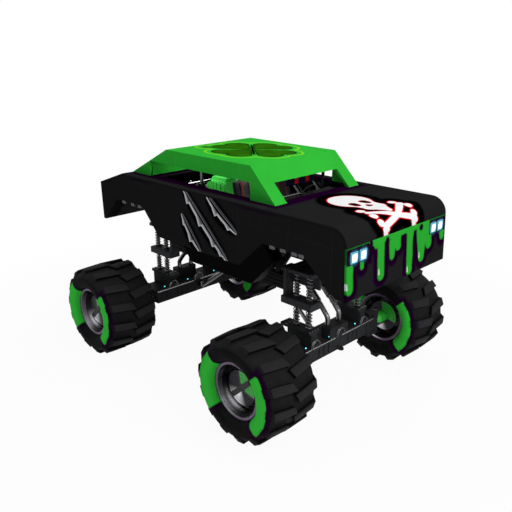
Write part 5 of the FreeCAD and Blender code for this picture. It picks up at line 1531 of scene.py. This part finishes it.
WHEEL_REACH = 0.172
GAUGE = ((0, 0.0), (0.040, 0.0), (0.044, 0.004), (0.040, 0.012), (0.034, 0.010), (0, 0.010))


def dash_and_wheel():
    """The dash with two red plates and four gauges, and the steering wheel on its column."""
    eased("dash", block_black, 0.016, 3)
    low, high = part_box("dash")
    tiles = [block("tile", (low.x + 0.003, y - 0.05, high.z - 0.20), (low.x + 0.012, y + 0.05, high.z - 0.04))
             for y in (-0.16, 0.06)]
    gauges = []
    for k in range(4):
        y = 0.24 + k * 0.13
        gauge = revolve("gauge", GAUGE, 28)
        gauge.transform(Matrix.Rotation(math.radians(90), 4, "Z"))
        gauge.transform(Matrix.Translation((low.x + 0.006, y, high.z - 0.10)))
        gauges.append(gauge)
    place("dash_plates", joined("tiles", *tiles), dash_red, "harness_red")
    place("dash_gauges", joined("gauges", *gauges), bolt_steel, "bright_steel")
    tilt = math.radians(25)
    axis = Vector((-math.cos(tilt), 0, math.sin(tilt)))
    # where the column leaves the dash, and the middle of the wheel
    face = Vector((1.33 - 0.06 - 0.27 - 0.0003, SEAT_Y, 3.08))
    hub = face + axis * 0.16
    right, up = Vector((0, 1, 0)), Vector((0, 1, 0)).cross(axis)
    rim_line = [hub + right * (WHEEL_REACH * math.cos(a)) + up * (WHEEL_REACH * math.sin(a))
                for a in [2 * math.pi * k / 56 for k in range(57)]]
    parts = [tube("rim", rim_line, 0.013, 16, 0.0005)]
    for way in (right, -right, up):
        parts.append(tube("spoke", [hub, hub + way * 0.168], 0.009, 12, 0.002))
    parts.append(tube("column", [face + axis * 0.012, hub + axis * 0.008], 0.021, 24, 0.003))
    place("steering_wheel_round", joined("wheel", *parts), wheel_grip, "matte_black",
          ("steering_wheel",))


def engine():
    """The block, the blower over it, and the blower's bolts."""
    eased("engine_block", block_black, 0.014, 3)
    eased("supercharger", blower_green, 0.006, 2)
    low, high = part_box("supercharger")
    z = high.z - 0.07
    rows = [((low.x + 0.03, y, z), (high.x - 0.06, y, z), (0, 0, 1)) for y in (-0.150, 0.150)]
    bolt_rows("blower_bolts", rows, 0.07, 0.009, bolt_steel)


cage()
pipes()
seats()
straps()
dash_and_wheel()
engine()


# ------------------------------------------------------------------ floor, light and camera
def seen_by_lens(tree):
    """1 for rays from the camera, for mirrored rays and for those through glass."""
    return of_all(Wire.most, tree.node("ShaderNodeLightPath", output=(0, 3, 6)))


def disc_light(name, at, size, power):
    """A round light; it faces straight down until it is turned."""
    lamp = bpy.data.lights.new(name, "AREA")
    lamp.shape, lamp.size, lamp.energy = "DISK", size, power
    held = shown(name, lamp)
    held.location = at
    return held


def aim(held, way):
    """Turns a light or a camera to look along a direction."""
    held.rotation_euler = way.to_track_quat("-Z", "Y").to_euler()


# columns: name, place, size, power in watts
LIGHTS = (("key", (9.0, -1.0, 8.0), 6.0, 430.0), ("fill", (-4.0, -9.5, 6.0), 7.0, 66.0),
          ("top", (-1.0, 1.0, 10.5), 8.0, 270.0))


def studio():
    """A pale floor and backdrop, three large lights and two small ones in the cab."""
    floor = bpy.data.meshes.new("studio_floor")
    reach = 60.0
    floor.from_pydata([(x * reach, y * reach, -0.0005) for x, y in ((-1, -1), (1, -1), (1, 1), (-1, 1))],
                      [], [(0, 1, 2, 3)])
    ground = shown("studio_floor", floor)
    pale = Finish("studio_floor")
    seen = seen_by_lens(pale)
    speck = pale.noise(3.0, 2.0)
    matte = pale.node("ShaderNodeBsdfDiffuse", {}, {"Color": pale.mix(speck * 0.04, (0.92, 0.92, 0.92, 1.0),
                                                                     (0.88, 0.88, 0.88, 1.0))})
    glow = pale.node("ShaderNodeEmission", {}, {"Color": (1.0, 1.0, 1.0, 1.0), "Strength": 1.0})
    x, y, _ = pale.xyz()
    far = ((x ** 2 + y ** 2) ** 0.5).fade(4.5, 9.0)
    both = pale.node("ShaderNodeMixShader", {}, {0: seen * (far * 0.05 + 0.95), 1: matte, 2: glow})
    pale.node("ShaderNodeOutputMaterial", {}, {"Surface": both})
    floor.materials.append(pale.material)
    world = bpy.data.worlds.new("studio")
    bpy.context.scene.world = world
    world.use_nodes = True
    world.node_tree.nodes.clear()
    sky = Tree(world.node_tree)
    seen = seen_by_lens(sky)
    soft = sky.node("ShaderNodeBackground", {}, {"Color": (0.93, 0.95, 1.0, 1.0), "Strength": 0.26})
    white = sky.node("ShaderNodeBackground", {}, {"Color": (1.0, 1.0, 1.0, 1.0), "Strength": 1.0})
    mixed = sky.node("ShaderNodeMixShader", {}, {0: seen, 1: soft, 2: white})
    sky.node("ShaderNodeOutputWorld", {}, {"Surface": mixed})
    for name, at, size, power in LIGHTS:
        aim(disc_light(name, at, size, power), Vector((0, 0, 1.8)) - Vector(at))
    for at in ((-1.0, -0.35, 3.66), (0.45, -0.2, 3.70)):
        disc_light("cab", at, 0.7, 5.0)


def camera():
    """The camera of the main view, from the front right and above."""
    seen_from, seen_at = Vector((7.5315, -7.449, 5.566)), Vector((0.0215, 0.0, 1.912))
    lens = bpy.data.cameras.new("view")
    lens.lens, lens.sensor_width = 43.13, 36.0
    lens.clip_end = 200.0
    held = shown("view", lens)
    held.location = seen_from
    aim(held, seen_at - seen_from)
    bpy.context.scene.camera = held


studio()
camera()
bpy.context.scene.view_settings.view_transform = "Standard"
